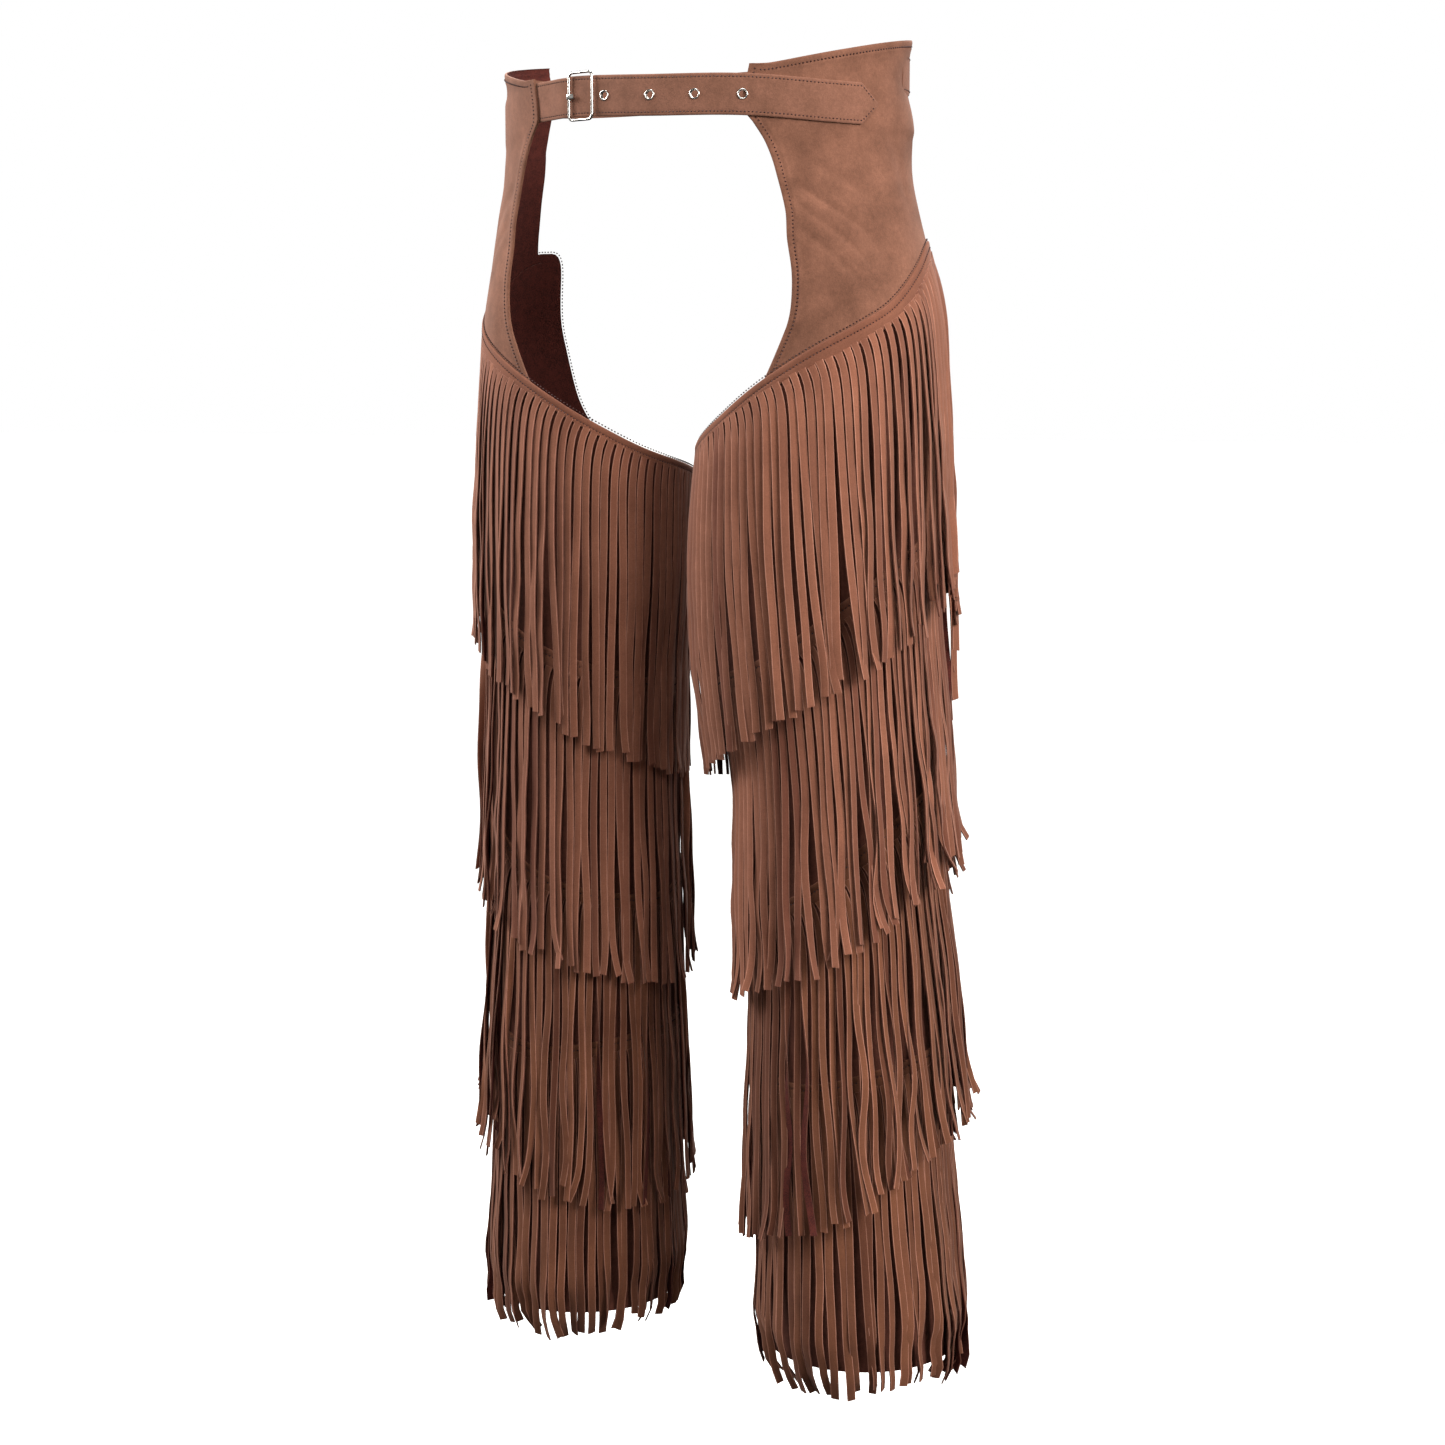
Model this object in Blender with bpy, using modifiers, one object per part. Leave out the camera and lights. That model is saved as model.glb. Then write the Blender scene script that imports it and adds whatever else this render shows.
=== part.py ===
"""Fringed faux suede chaps in their worn shape, hollow and open at waist, seat and hems.

Metres, +Z up. The front faces -Y and the wearer's left is +X. The origin is the middle of the
waist, level with the middle of the front belt. Everything is worked out from one shape, the
surface that the cloth lies on: a waist ellipse that turns into a leg ellipse on each side.
A place on it is an angle round the leg, 0 at the front, 90 at the outer side, 180 at the back
and -90 at the inner thigh, and a height. Cloth lies on that surface, and what is sewn over
other cloth is the same surface moved out.
"""

import math

import bpy
from mathutils import Vector

# Cloth and clearances
CLOTH = 0.0015
BELT_CLOTH = 0.0020
FRINGE_CLOTH = 0.0013
SEAM_GAP = 0.0003
FRINGE_GAP = 0.0010
INSIDE_PANEL = -CLOTH - 2 * SEAM_GAP - BELT_CLOTH

# The surface: waist ellipse above HIP_TOP, leg ellipse below HIP_BOTTOM
WAIST_HALF_WIDTH = 0.164
WAIST_HALF_DEPTH = 0.113
HIP_TOP = -0.018
HIP_BOTTOM = -0.168

# Leg ellipses: height, centre out from the middle, centre back, half width, half depth
LEG_SECTIONS = (
    (-0.100, 0.100, 0.002, 0.0845, 0.091),
    (-0.230, 0.100, 0.002, 0.0845, 0.091),
    (-0.340, 0.103, 0.003, 0.082, 0.089),
    (-0.430, 0.108, 0.005, 0.077, 0.084),
    (-0.520, 0.113, 0.008, 0.0735, 0.079),
    (-0.700, 0.120, 0.016, 0.072, 0.077),
    (-0.945, 0.128, 0.025, 0.072, 0.076),
)
HEM_HEIGHT = -0.942

# Hip panel: top edge as angle, height; side edges as height, front angle, back angle
PANEL_TOP_EDGE = (
    (30, 0.0195),
    (42, 0.0210),
    (50, 0.0260),
    (61, 0.0320),
    (77, 0.0370),
    (93, 0.0415),
    (110, 0.0440),
)
PANEL_SIDE_EDGES = (
    (0.020, 34.0, 104.0),
    (-0.012, 32.0, 103.5),
    (-0.023, 35.0, 103.0),
    (-0.037, 37.5, 102.5),
    (-0.055, 37.8, 102.0),
    (-0.083, 34.8, 103.0),
    (-0.105, 29.0, 106.0),
    (-0.125, 24.0, 110.0),
    (-0.145, 18.0, 113.0),
    (-0.180, 8.0, 117.0),
    (-0.200, 1.5, 119.0),
    (-0.225, -8.0, 122.0),
)
PANEL_BELOW_LINE = 0.0070

# Fringe, tier by tier: its length with the band, how far its strands stand off the leg as
# share of their length, distance, and the top edge of its band as angle, height
FRINGE_TIERS = (
    {
        "strands": 42,
        "length": 0.240,
        "stand_off": ((0.0, 0.0), (0.25, 0.0042), (0.6, 0.0080), (1.0, 0.0105)),
        "line": (
            (-90, -0.2645),
            (-60, -0.2525),
            (-30, -0.2300),
            (0, -0.2025),
            (25, -0.1800),
            (48, -0.1615),
            (64, -0.1480),
            (87, -0.1200),
            (98, -0.1070),
            (110, -0.1005),
            (119, -0.1080),
            (127, -0.1600),
            (136, -0.2150),
            (148, -0.2430),
            (165, -0.2540),
            (190, -0.2640),
            (235, -0.2720),
        ),
    },
    {
        "strands": 27,
        "length": 0.241,
        "stand_off": ((0.0, 0.0), (0.3, 0.0020), (0.65, 0.0070), (1.0, 0.0105)),
        "line": (
            (-90, -0.4330),
            (-45, -0.4200),
            (0, -0.3970),
            (45, -0.3530),
            (90, -0.3140),
            (130, -0.3020),
            (165, -0.3750),
            (200, -0.4150),
            (240, -0.4220),
        ),
    },
    {
        "strands": 27,
        "length": 0.252,
        "stand_off": ((0.0, 0.0), (0.3, 0.0020), (0.65, 0.0070), (1.0, 0.0110)),
        "line": (
            (-90, -0.6010),
            (-45, -0.5960),
            (0, -0.5780),
            (45, -0.5360),
            (90, -0.5015),
            (130, -0.4900),
            (165, -0.5450),
            (200, -0.5750),
            (240, -0.5840),
        ),
    },
    {
        "strands": 27,
        "length": 0.243,
        "stand_off": ((0.0, 0.0), (0.3, 0.0010), (0.6, 0.0040), (1.0, 0.0100)),
        "line": (
            (-90, -0.7080),
            (-45, -0.7160),
            (0, -0.7210),
            (45, -0.7080),
            (90, -0.6980),
            (135, -0.7010),
            (180, -0.7090),
            (225, -0.7090),
        ),
    },
)
BAND_HEIGHT = 0.014
STRAND_FILL = 0.86
# The left leg's strands are swung out more than the right leg's
STAND_OFF_SHARE = {1: 1.15, -1: 0.8}
STRAND_TWIST = 0.0012
STRAND_UNEVEN = 0.0045
# Strand to strand steps, in radians, of the waves that set how unevenly they hang and turn
UNEVEN_STEP = 2.4
TWIST_STEP = 1.7

# Belt: heights of its middle line as angle, height
BELT_WIDTH = 0.029
BELT_LINE = (
    (-42, 0.0005),
    (-17, 0.0010),
    (8, -0.0019),
    (32, -0.0034),
    (57, -0.0076),
    (80, -0.0085),
)
BELT_TIP_ANGLE = 74.9
BELT_TIP_WIDTH = 0.0024
BELT_SHOULDER_ANGLE = 68.2
BELT_END_ANGLE = -17.2
BUCKLE_STRAP_ANGLES = (-44.0, -14.0)
BUCKLE_STRAP_RISE = (-28.0, -20.0)
BUCKLE_STRAP_WIDTH = 0.0285
EYELET_ANGLES = (-5.6, 7.5, 19.5, 32.1)
EYELET_FLANGE = 0.0039
EYELET_BORE = 0.0021
EYELET_BARREL = 0.0027
EYELET_PROUD = 0.0006
EYELET_EDGE = 0.0004
EYELET_ROLL = 0.0006
EYELET_SUNK = 0.0002
EYELET_HOLE = 0.0030
EYELET_SIDES = 12
CUTTER_DEPTH = 0.010

# Buckle: a frame of round wire that lies on the belt, and the root of its prong
BUCKLE_ANGLE = -12.7
BUCKLE_LENGTH = 0.0222
BUCKLE_HEIGHT = 0.0335
BUCKLE_WIRE = 0.0010
BUCKLE_CORNER = 0.0035
BUCKLE_CORNER_STEPS = 3
PRONG_WIDTH = 0.0036
PRONG_TONGUE = 0.0050
PRONG_METAL = 0.0007
PRONG_CLEARANCE = 0.0003
PRONG_ROLL_START = 35.0
PRONG_ROLL_TURN = 215.0
PRONG_ROLL_STEPS = 8

# Back strap: middle line heights at its ends and in the middle, sewn inside both panels
BACK_STRAP_WIDTH = 0.028
BACK_STRAP_END_ANGLE = 94.0
BACK_STRAP_END_HEIGHT = 0.018
BACK_STRAP_RISE = 0.009

# How finely the sheets are divided
LEG_COLUMNS = 34
LEG_ROWS = 14
PANEL_COLUMNS = 12
PANEL_ROWS = 11
STRAP_STEPS = 24
SHORT_STRAP_STEPS = 8

# Steps for measuring directions on the surface, in degrees and metres, and the rounds that
# bring the end of a panel's column to rest on its edge
DEGREE_STEP = 0.5
OUT_STEP = 0.01
EDGE_ROUNDS = 12
LAP = 360

SIDES = {"left": 1, "right": -1}


def hermite(rows, at):
    """Each value of a short table at this place, on a smooth curve through its rows."""
    rows = sorted(rows)
    if at <= rows[0][0]:
        return list(rows[0][1:])
    if at >= rows[-1][0]:
        return list(rows[-1][1:])
    k = next(i for i in range(len(rows) - 1) if rows[i + 1][0] >= at)
    low, high = rows[k], rows[k + 1]
    before = rows[max(k - 1, 0)]
    after = rows[min(k + 2, len(rows) - 1)]
    step = high[0] - low[0]
    u = (at - low[0]) / step
    values = []
    for column in range(1, len(low)):
        slope_low = (high[column] - before[column]) / (high[0] - before[0])
        slope_high = (after[column] - low[column]) / (after[0] - low[0])
        values.append(
            (2 * u**3 - 3 * u**2 + 1) * low[column]
            + (u**3 - 2 * u**2 + u) * step * slope_low
            + (3 * u**2 - 2 * u**3) * high[column]
            + (u**3 - u**2) * step * slope_high
        )
    return values


def around(line, angle):
    """The height of a line that closes round the leg."""
    turn = [(a + lap, height) for lap in (-LAP, 0, LAP) for a, height in line]
    return hermite(turn, (angle + LAP / 2) % LAP - LAP / 2)[0]


def steps(first, last, count):
    """Evenly spaced values from the first to the last, both included."""
    return [first + (last - first) * k / count for k in range(count + 1)]


def smooth(u):
    u = min(max(u, 0.0), 1.0)
    return u * u * (3 - 2 * u)


def surface(side, angle, height, out=0.0):
    """A point on the surface that the cloth lies on, moved out by this much."""
    centre_x, centre_y, half_width, half_depth = hermite(LEG_SECTIONS, height)
    leg = smooth((HIP_TOP - height) / (HIP_TOP - HIP_BOTTOM))
    turn = math.radians(angle)
    x = (1 - leg) * (WAIST_HALF_WIDTH + out) * math.sin(turn)
    y = -(1 - leg) * (WAIST_HALF_DEPTH + out) * math.cos(turn)
    x += leg * (centre_x + (half_width + out) * math.sin(turn))
    y += leg * (centre_y - (half_depth + out) * math.cos(turn))
    return Vector((side * x, y, height))


def frame_at(side, angle, height, out):
    """A point on the surface, with the directions along it and away from it."""
    point = surface(side, angle, height, out)
    ahead = surface(side, angle + DEGREE_STEP, height, out)
    along = (ahead - surface(side, angle - DEGREE_STEP, height, out)).normalized()
    away = surface(side, angle, height, out + OUT_STEP) - point
    away -= along * away.dot(along)
    return point, along, away.normalized()


def panel_angle(share, height):
    front, back = hermite(PANEL_SIDE_EDGES, height)
    return front + (back - front) * share


def waist_edge(angle):
    return hermite(PANEL_TOP_EDGE, angle)[0]


def panel_seam(angle):
    """The height of the seam between the hip panel and the leg, under the top band."""
    return around(FRINGE_TIERS[0]["line"], angle) - PANEL_BELOW_LINE


def panel_end(share, edge):
    """The height where this column of the hip panel meets its top or bottom edge."""
    height = 0.0
    for _ in range(EDGE_ROUNDS):
        height = edge(panel_angle(share, height))
    return height


def new_collection(name, hidden=False):
    made = bpy.data.collections.new(name)
    bpy.context.scene.collection.children.link(made)
    made.hide_render = hidden
    return made


def material(name, colour, roughness, metallic=0.0):
    made = bpy.data.materials.new(name)
    made.use_nodes = True
    shader = made.node_tree.nodes["Principled BSDF"]
    shader.inputs["Base Color"].default_value = (*colour, 1.0)
    shader.inputs["Roughness"].default_value = roughness
    shader.inputs["Metallic"].default_value = metallic
    return made


def add_object(name, mesh, finish, collection):
    made = bpy.data.objects.new(name, mesh)
    made.data.materials.append(finish)
    collection.objects.link(made)
    return made


def sheet(name, points, faces, finish, collection, thickness, outwards):
    """An open sheet of cloth, thickened out from its points or in from them."""
    mesh = bpy.data.meshes.new(name)
    mesh.from_pydata(points, [], faces)
    mesh.update()
    made = add_object(name, mesh, finish, collection)
    wall = made.modifiers.new("Wall", "SOLIDIFY")
    wall.thickness = thickness
    wall.offset = 1.0 if outwards else -1.0
    wall.use_even_offset = True
    return made


def grid_faces(columns, rows, closed, side):
    """Quads of a grid stored row by row, top row first, facing out on this side."""
    faces = []
    for row in range(rows - 1):
        for column in range(columns if closed else columns - 1):
            after = (column + 1) % columns
            quad = (
                row * columns + column,
                (row + 1) * columns + column,
                (row + 1) * columns + after,
                row * columns + after,
            )
            faces.append(quad if side > 0 else quad[::-1])
    return faces


def build_hip_panel(name, side, finish, collection):
    """The plain cloth from the waist to the top band, open in front and at the seat."""
    points = []
    shares = steps(0, 1, PANEL_COLUMNS - 1)
    ends = [(share, panel_end(share, waist_edge), panel_end(share, panel_seam)) for share in shares]
    for row in range(PANEL_ROWS):
        for share, top, bottom in ends:
            height = top + (bottom - top) * row / (PANEL_ROWS - 1)
            points.append(surface(side, panel_angle(share, height), height))
    faces = grid_faces(PANEL_COLUMNS, PANEL_ROWS, False, side)
    sheet(name, points, faces, finish, collection, CLOTH, False)


def build_leg(name, side, finish, collection):
    """The tube of one leg, from the seam under the top band to the open hem."""
    shares = steps(0, 1, PANEL_COLUMNS - 1)
    angles = [panel_angle(share, panel_end(share, panel_seam)) for share in shares]
    angles += steps(angles[-1], angles[0] + 360, LEG_COLUMNS - PANEL_COLUMNS + 1)[1:-1]
    points = []
    for row in range(LEG_ROWS):
        for angle in angles:
            top = panel_seam(angle) - SEAM_GAP
            height = top + (HEM_HEIGHT - top) * row / (LEG_ROWS - 1)
            points.append(surface(side, angle, height))
    faces = grid_faces(LEG_COLUMNS, LEG_ROWS, True, side)
    sheet(name, points, faces, finish, collection, CLOTH, False)


def build_fringe(name, side, tier, finish, collection):
    """One tier: a narrow band round the leg, slit below into hanging strands."""
    line = tier["line"]
    strands = tier["strands"]
    pitch = 360 / strands
    half = pitch * STRAND_FILL / 2
    hang = tier["length"] - BAND_HEIGHT
    points = []
    faces = []
    for depth in (0.0, BAND_HEIGHT):
        for strand in range(strands):
            for edge in (-half, half):
                angle = strand * pitch + edge
                height = around(line, angle) - depth
                points.append(surface(side, angle, height, FRINGE_GAP))
    faces += grid_faces(2 * strands, 2, True, side)
    for strand in range(strands):
        middle = strand * pitch
        uneven = STRAND_UNEVEN * math.sin(UNEVEN_STEP * strand)
        twist = STRAND_TWIST * math.sin(TWIST_STEP * strand + 1)
        above = (2 * strands + 2 * strand, 2 * strands + 2 * strand + 1)
        for share, stand_off in tier["stand_off"][1:]:
            out = FRINGE_GAP + STAND_OFF_SHARE[side] * stand_off
            here = (len(points), len(points) + 1)
            for edge, turned in ((-half, twist), (half, -twist)):
                root = around(line, middle + edge) - BAND_HEIGHT
                height = root - share * (hang + uneven)
                points.append(surface(side, middle + edge, height, out + turned * share))
            quad = (above[0], here[0], here[1], above[1])
            faces.append(quad if side > 0 else quad[::-1])
            above = here
    sheet(name, points, faces, finish, collection, FRINGE_CLOTH, True)


def strap_points(angles, width, out, line):
    """Three rows of points along a strap round the waist: top edge, middle and bottom edge."""
    rows = []
    for share in (0.5, 0.0, -0.5):
        rows.append([surface(1, a, line(a) + share * width(a), out(a)) for a in angles])
    return rows


def belt_height(angle):
    return hermite(BELT_LINE, angle)[0]


def build_strap(name, rows, finish, collection):
    """A strap from three rows of points, thickened outwards."""
    points = [point for row in rows for point in row]
    faces = grid_faces(len(rows[0]), 3, False, 1)
    return sheet(name, points, faces, finish, collection, BELT_CLOTH, True)


def build_belt(finish, collection, cutters):
    """The long strap: its pointed end on the left panel, its other end under the buckle."""
    angles = steps(BELT_END_ANGLE, BELT_SHOULDER_ANGLE, STRAP_STEPS)
    angles += steps(BELT_SHOULDER_ANGLE, BELT_TIP_ANGLE, 3)[1:]

    def width(angle):
        point = (angle - BELT_SHOULDER_ANGLE) / (BELT_TIP_ANGLE - BELT_SHOULDER_ANGLE)
        return BELT_WIDTH + (BELT_TIP_WIDTH - BELT_WIDTH) * max(point, 0.0)

    rows = strap_points(angles, width, lambda angle: SEAM_GAP, belt_height)
    belt = build_strap("belt_strap", rows, finish, collection)
    for number, angle in enumerate(EYELET_ANGLES, start=1):
        point, _, away = frame_at(1, angle, belt_height(angle), SEAM_GAP)
        bpy.ops.mesh.primitive_cylinder_add(
            vertices=EYELET_SIDES, radius=EYELET_HOLE, depth=CUTTER_DEPTH, location=point
        )
        cutter = bpy.context.object
        cutter.name = f"cutter_eyelet_{number}"
        cutter.rotation_mode = "QUATERNION"
        cutter.rotation_quaternion = away.to_track_quat("Z", "Y")
        cutter.hide_render = True
        cutter.display_type = "WIRE"
        for owner in list(cutter.users_collection):
            owner.objects.unlink(cutter)
        cutters.objects.link(cutter)
        hole = belt.modifiers.new(f"Eyelet hole {number}", "BOOLEAN")
        hole.operation = "DIFFERENCE"
        hole.solver = "EXACT"
        hole.object = cutter


def build_buckle_strap(finish, collection):
    """The short strap: sewn inside the right panel, its free end under the belt's end."""
    angles = steps(*BUCKLE_STRAP_ANGLES, SHORT_STRAP_STEPS)
    under_belt = -BELT_CLOTH
    first, last = BUCKLE_STRAP_RISE

    def out(angle):
        rise = smooth((angle - first) / (last - first))
        return INSIDE_PANEL + (under_belt - INSIDE_PANEL) * rise

    rows = strap_points(angles, lambda angle: BUCKLE_STRAP_WIDTH, out, belt_height)
    build_strap("buckle_strap", rows, finish, collection)


def build_back_strap(finish, collection):
    """The plain strap across the back of the waist, sewn inside both panels."""
    reach = 180 - BACK_STRAP_END_ANGLE

    def line(angle):
        return BACK_STRAP_END_HEIGHT + BACK_STRAP_RISE * smooth(1 - abs(angle - 180) / reach)

    angles = steps(BACK_STRAP_END_ANGLE, 360 - BACK_STRAP_END_ANGLE, STRAP_STEPS)
    rows = strap_points(
        angles, lambda angle: BACK_STRAP_WIDTH, lambda angle: INSIDE_PANEL, line
    )
    build_strap("back_strap", rows, finish, collection)


def build_eyelets(finish, collection):
    """Rolled metal rings: a flange proud of the belt and a barrel through it."""
    face = BELT_CLOTH + SEAM_GAP
    profile = (
        (EYELET_FLANGE, face + EYELET_PROUD / 2),
        (EYELET_FLANGE - EYELET_EDGE, face),
        (EYELET_BARREL, face),
        (EYELET_BARREL, EYELET_SUNK),
        (EYELET_BORE, EYELET_SUNK),
        (EYELET_BORE, face + EYELET_PROUD / 2),
        (EYELET_BORE + EYELET_ROLL, face + EYELET_PROUD),
        (EYELET_FLANGE - 2 * EYELET_EDGE, face + EYELET_PROUD),
    )
    edges = [(i, (i + 1) % len(profile)) for i in range(len(profile))]
    for number, angle in enumerate(EYELET_ANGLES, start=1):
        mesh = bpy.data.meshes.new(f"eyelet_{number}")
        mesh.from_pydata([(radius, 0.0, height) for radius, height in profile], edges, [])
        ring = add_object(f"eyelet_{number}", mesh, finish, collection)
        point, _, away = frame_at(1, angle, belt_height(angle), SEAM_GAP)
        ring.location = point
        ring.rotation_mode = "QUATERNION"
        ring.rotation_quaternion = away.to_track_quat("Z", "Y")
        turned = ring.modifiers.new("Turned", "SCREW")
        turned.steps = EYELET_SIDES
        turned.render_steps = EYELET_SIDES
        turned.use_merge_vertices = True
        turned.merge_threshold = 0.00001


def buckle_axes():
    """Middle of the buckle, and its directions along the belt, up it and away from it."""
    height = belt_height(BUCKLE_ANGLE)
    lift = BELT_CLOTH + 3 * SEAM_GAP + BUCKLE_WIRE
    point, along, away = frame_at(1, BUCKLE_ANGLE, height, lift)
    return point, along, Vector((0, 0, 1)), away


def build_buckle_frame(finish, collection):
    """The frame: round wire bent to a rectangle with round corners, closed on itself."""
    middle, along, upward, _ = buckle_axes()
    half_length = BUCKLE_LENGTH / 2 - BUCKLE_CORNER
    half_height = BUCKLE_HEIGHT / 2 - BUCKLE_CORNER
    curve = bpy.data.curves.new("buckle_frame", "CURVE")
    curve.dimensions = "3D"
    curve.bevel_depth = BUCKLE_WIRE
    curve.bevel_resolution = 2
    curve.resolution_u = 1
    corners = ((1, 1, 0), (-1, 1, 90), (-1, -1, 180), (1, -1, 270))
    spline = curve.splines.new("POLY")
    spline.points.add(len(corners) * (BUCKLE_CORNER_STEPS + 1) - 1)
    k = 0
    for sign_along, sign_up, start in corners:
        for step in range(BUCKLE_CORNER_STEPS + 1):
            turn = math.radians(start + 90 * step / BUCKLE_CORNER_STEPS)
            u = sign_along * half_length + BUCKLE_CORNER * math.cos(turn)
            v = sign_up * half_height + BUCKLE_CORNER * math.sin(turn)
            spline.points[k].co = (*(middle + along * u + upward * v), 1.0)
            k += 1
    spline.use_cyclic_u = True
    add_object("buckle_frame", curve, finish, collection)


def build_buckle_prong(finish, collection):
    """The prong's root: sheet metal rolled round the heel bar, with a short tongue."""
    middle, along, upward, away = buckle_axes()
    bar = middle - along * (BUCKLE_LENGTH / 2)
    inner = BUCKLE_WIRE + PRONG_CLEARANCE
    outline = [(PRONG_TONGUE, inner / 3)]
    for turned in steps(PRONG_ROLL_START, PRONG_ROLL_START + PRONG_ROLL_TURN, PRONG_ROLL_STEPS):
        turn = math.radians(turned)
        outline.append((inner * math.cos(turn), inner * math.sin(turn)))
    points = []
    for u, w in outline:
        for v in (PRONG_WIDTH / 2, -PRONG_WIDTH / 2):
            points.append(bar + along * u + away * w + upward * v)
    faces = [(2 * i, 2 * i + 2, 2 * i + 3, 2 * i + 1) for i in range(len(outline) - 1)]
    sheet("buckle_prong", points, faces, finish, collection, PRONG_METAL, True)


def main():
    for old in list(bpy.data.objects):
        bpy.data.objects.remove(old, do_unlink=True)
    parts = new_collection("fringed_chaps")
    cutters = new_collection("cutters", hidden=True)
    suede = material("faux suede", (0.30, 0.125, 0.085), 0.92)
    fringe = material("faux suede fringe", (0.22, 0.088, 0.058), 0.92)
    nickel = material("nickel plate", (0.78, 0.77, 0.75), 0.22, 1.0)
    for word, side in SIDES.items():
        build_hip_panel(f"hip_panel_{word}", side, suede, parts)
        build_leg(f"leg_{word}", side, suede, parts)
        for number, tier in enumerate(FRINGE_TIERS, start=1):
            build_fringe(f"fringe_{word}_{number}", side, tier, fringe, parts)
    build_belt(suede, parts, cutters)
    build_buckle_strap(suede, parts)
    build_back_strap(suede, parts)
    build_eyelets(nickel, parts)
    build_buckle_frame(nickel, parts)
    build_buckle_prong(nickel, parts)


main()
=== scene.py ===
"""The look of the fringed chaps: every cloth piece, its stitching and the metal of the belt.

Metres, +Z up, the front faces -Y and the left side is +X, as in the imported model. Cloth lies
on one surface: a waist ellipse that turns into a leg ellipse on each side. A place on it is
an angle round the leg, 0 at the front, 90 at the outer side, 180 at the back and -90 at the
inner thigh, and a height.
"""

import math
import random

import bpy
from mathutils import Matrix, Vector, noise


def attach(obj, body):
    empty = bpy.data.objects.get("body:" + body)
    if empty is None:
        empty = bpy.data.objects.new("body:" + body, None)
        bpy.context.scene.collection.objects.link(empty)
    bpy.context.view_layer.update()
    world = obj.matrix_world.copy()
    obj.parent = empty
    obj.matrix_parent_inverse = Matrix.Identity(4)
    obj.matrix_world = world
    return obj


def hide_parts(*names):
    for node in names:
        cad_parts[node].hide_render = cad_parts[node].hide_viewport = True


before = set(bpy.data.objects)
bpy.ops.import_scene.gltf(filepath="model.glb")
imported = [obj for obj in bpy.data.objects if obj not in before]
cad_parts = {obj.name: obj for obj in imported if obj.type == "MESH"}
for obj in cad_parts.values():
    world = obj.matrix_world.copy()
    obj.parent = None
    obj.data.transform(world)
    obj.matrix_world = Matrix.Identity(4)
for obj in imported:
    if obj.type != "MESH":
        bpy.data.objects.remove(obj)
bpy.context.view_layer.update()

MM = 0.001

# Cloth and clearances, as in the solids
CLOTH = 1.5 * MM
BELT_CLOTH = 2.0 * MM
SEAM_GAP = 0.3 * MM
INSIDE_PANEL = -CLOTH - 2 * SEAM_GAP - BELT_CLOTH

# The surface: waist ellipse above HIP_TOP, leg ellipse below HIP_BOTTOM
WAIST_HALF_WIDTH = 0.164
WAIST_HALF_DEPTH = 0.113
HIP_TOP = -0.018
HIP_BOTTOM = -0.168

# Leg ellipses: height, centre out from the middle, centre back, half width, half depth
LEG_SECTIONS = (
    (-0.100, 0.100, 0.002, 0.0845, 0.091),
    (-0.230, 0.100, 0.002, 0.0845, 0.091),
    (-0.340, 0.103, 0.003, 0.082, 0.089),
    (-0.430, 0.108, 0.005, 0.077, 0.084),
    (-0.520, 0.113, 0.008, 0.0735, 0.079),
    (-0.700, 0.120, 0.016, 0.072, 0.077),
    (-0.945, 0.128, 0.025, 0.072, 0.076),
)
HEM_HEIGHT = -0.942

# Hip panel: top edge as angle, height; side edges as height, front angle, back angle
PANEL_TOP_EDGE = (
    (30, 0.0180), (38, 0.0180), (42, 0.0194), (50, 0.0233), (61, 0.0284),
    (77, 0.0350), (93, 0.0402), (110, 0.0444),
)
PANEL_SIDE_EDGES = (
    (0.020, 34.0, 104.0), (-0.012, 32.0, 103.5), (-0.023, 35.0, 103.0), (-0.037, 37.5, 102.5),
    (-0.055, 37.8, 102.0), (-0.083, 34.8, 103.0), (-0.105, 29.0, 106.0), (-0.125, 24.0, 110.0),
    (-0.145, 18.0, 113.0), (-0.180, 8.0, 117.0), (-0.200, 1.5, 119.0), (-0.225, -8.0, 122.0),
)
PANEL_BELOW_LINE = 0.0070

# Fringe, tier by tier: its length with the band, how far its strands stand off the leg as
# share of their length, distance, and the top edge of its band as angle, height
FRINGE_TIERS = (
    {
        "length": 0.240,
        "stand_off": ((0.0, 0.0), (0.25, 0.0042), (0.6, 0.0080), (1.0, 0.0105)),
        "line": (
            (-90, -0.2645), (-60, -0.2525), (-30, -0.2300), (0, -0.2025), (25, -0.1800),
            (48, -0.1615), (64, -0.1480), (87, -0.1200), (98, -0.1070), (110, -0.1005),
            (119, -0.1080), (127, -0.1600), (136, -0.2150), (148, -0.2430), (165, -0.2540),
            (190, -0.2640), (235, -0.2720),
        ),
    },
    {
        "length": 0.241,
        "stand_off": ((0.0, 0.0), (0.3, 0.0020), (0.65, 0.0070), (1.0, 0.0105)),
        "line": (
            (-90, -0.4330), (-45, -0.4200), (0, -0.3970), (45, -0.3530), (90, -0.3140),
            (130, -0.3020), (165, -0.3750), (200, -0.4150), (240, -0.4220),
        ),
    },
    {
        "length": 0.252,
        "stand_off": ((0.0, 0.0), (0.3, 0.0020), (0.65, 0.0070), (1.0, 0.0110)),
        "line": (
            (-90, -0.6010), (-45, -0.5960), (0, -0.5780), (45, -0.5360), (90, -0.5015),
            (130, -0.4900), (165, -0.5450), (200, -0.5750), (240, -0.5840),
        ),
    },
    {
        "length": 0.243,
        "stand_off": ((0.0, 0.0), (0.3, 0.0010), (0.6, 0.0040), (1.0, 0.0100)),
        "line": (
            (-90, -0.7080), (-45, -0.7160), (0, -0.7210), (45, -0.7080), (90, -0.6980),
            (135, -0.7010), (180, -0.7090), (225, -0.7090),
        ),
    },
)
STAND_OFF_SHARE = {1: 1.15, -1: 0.8}

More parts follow.
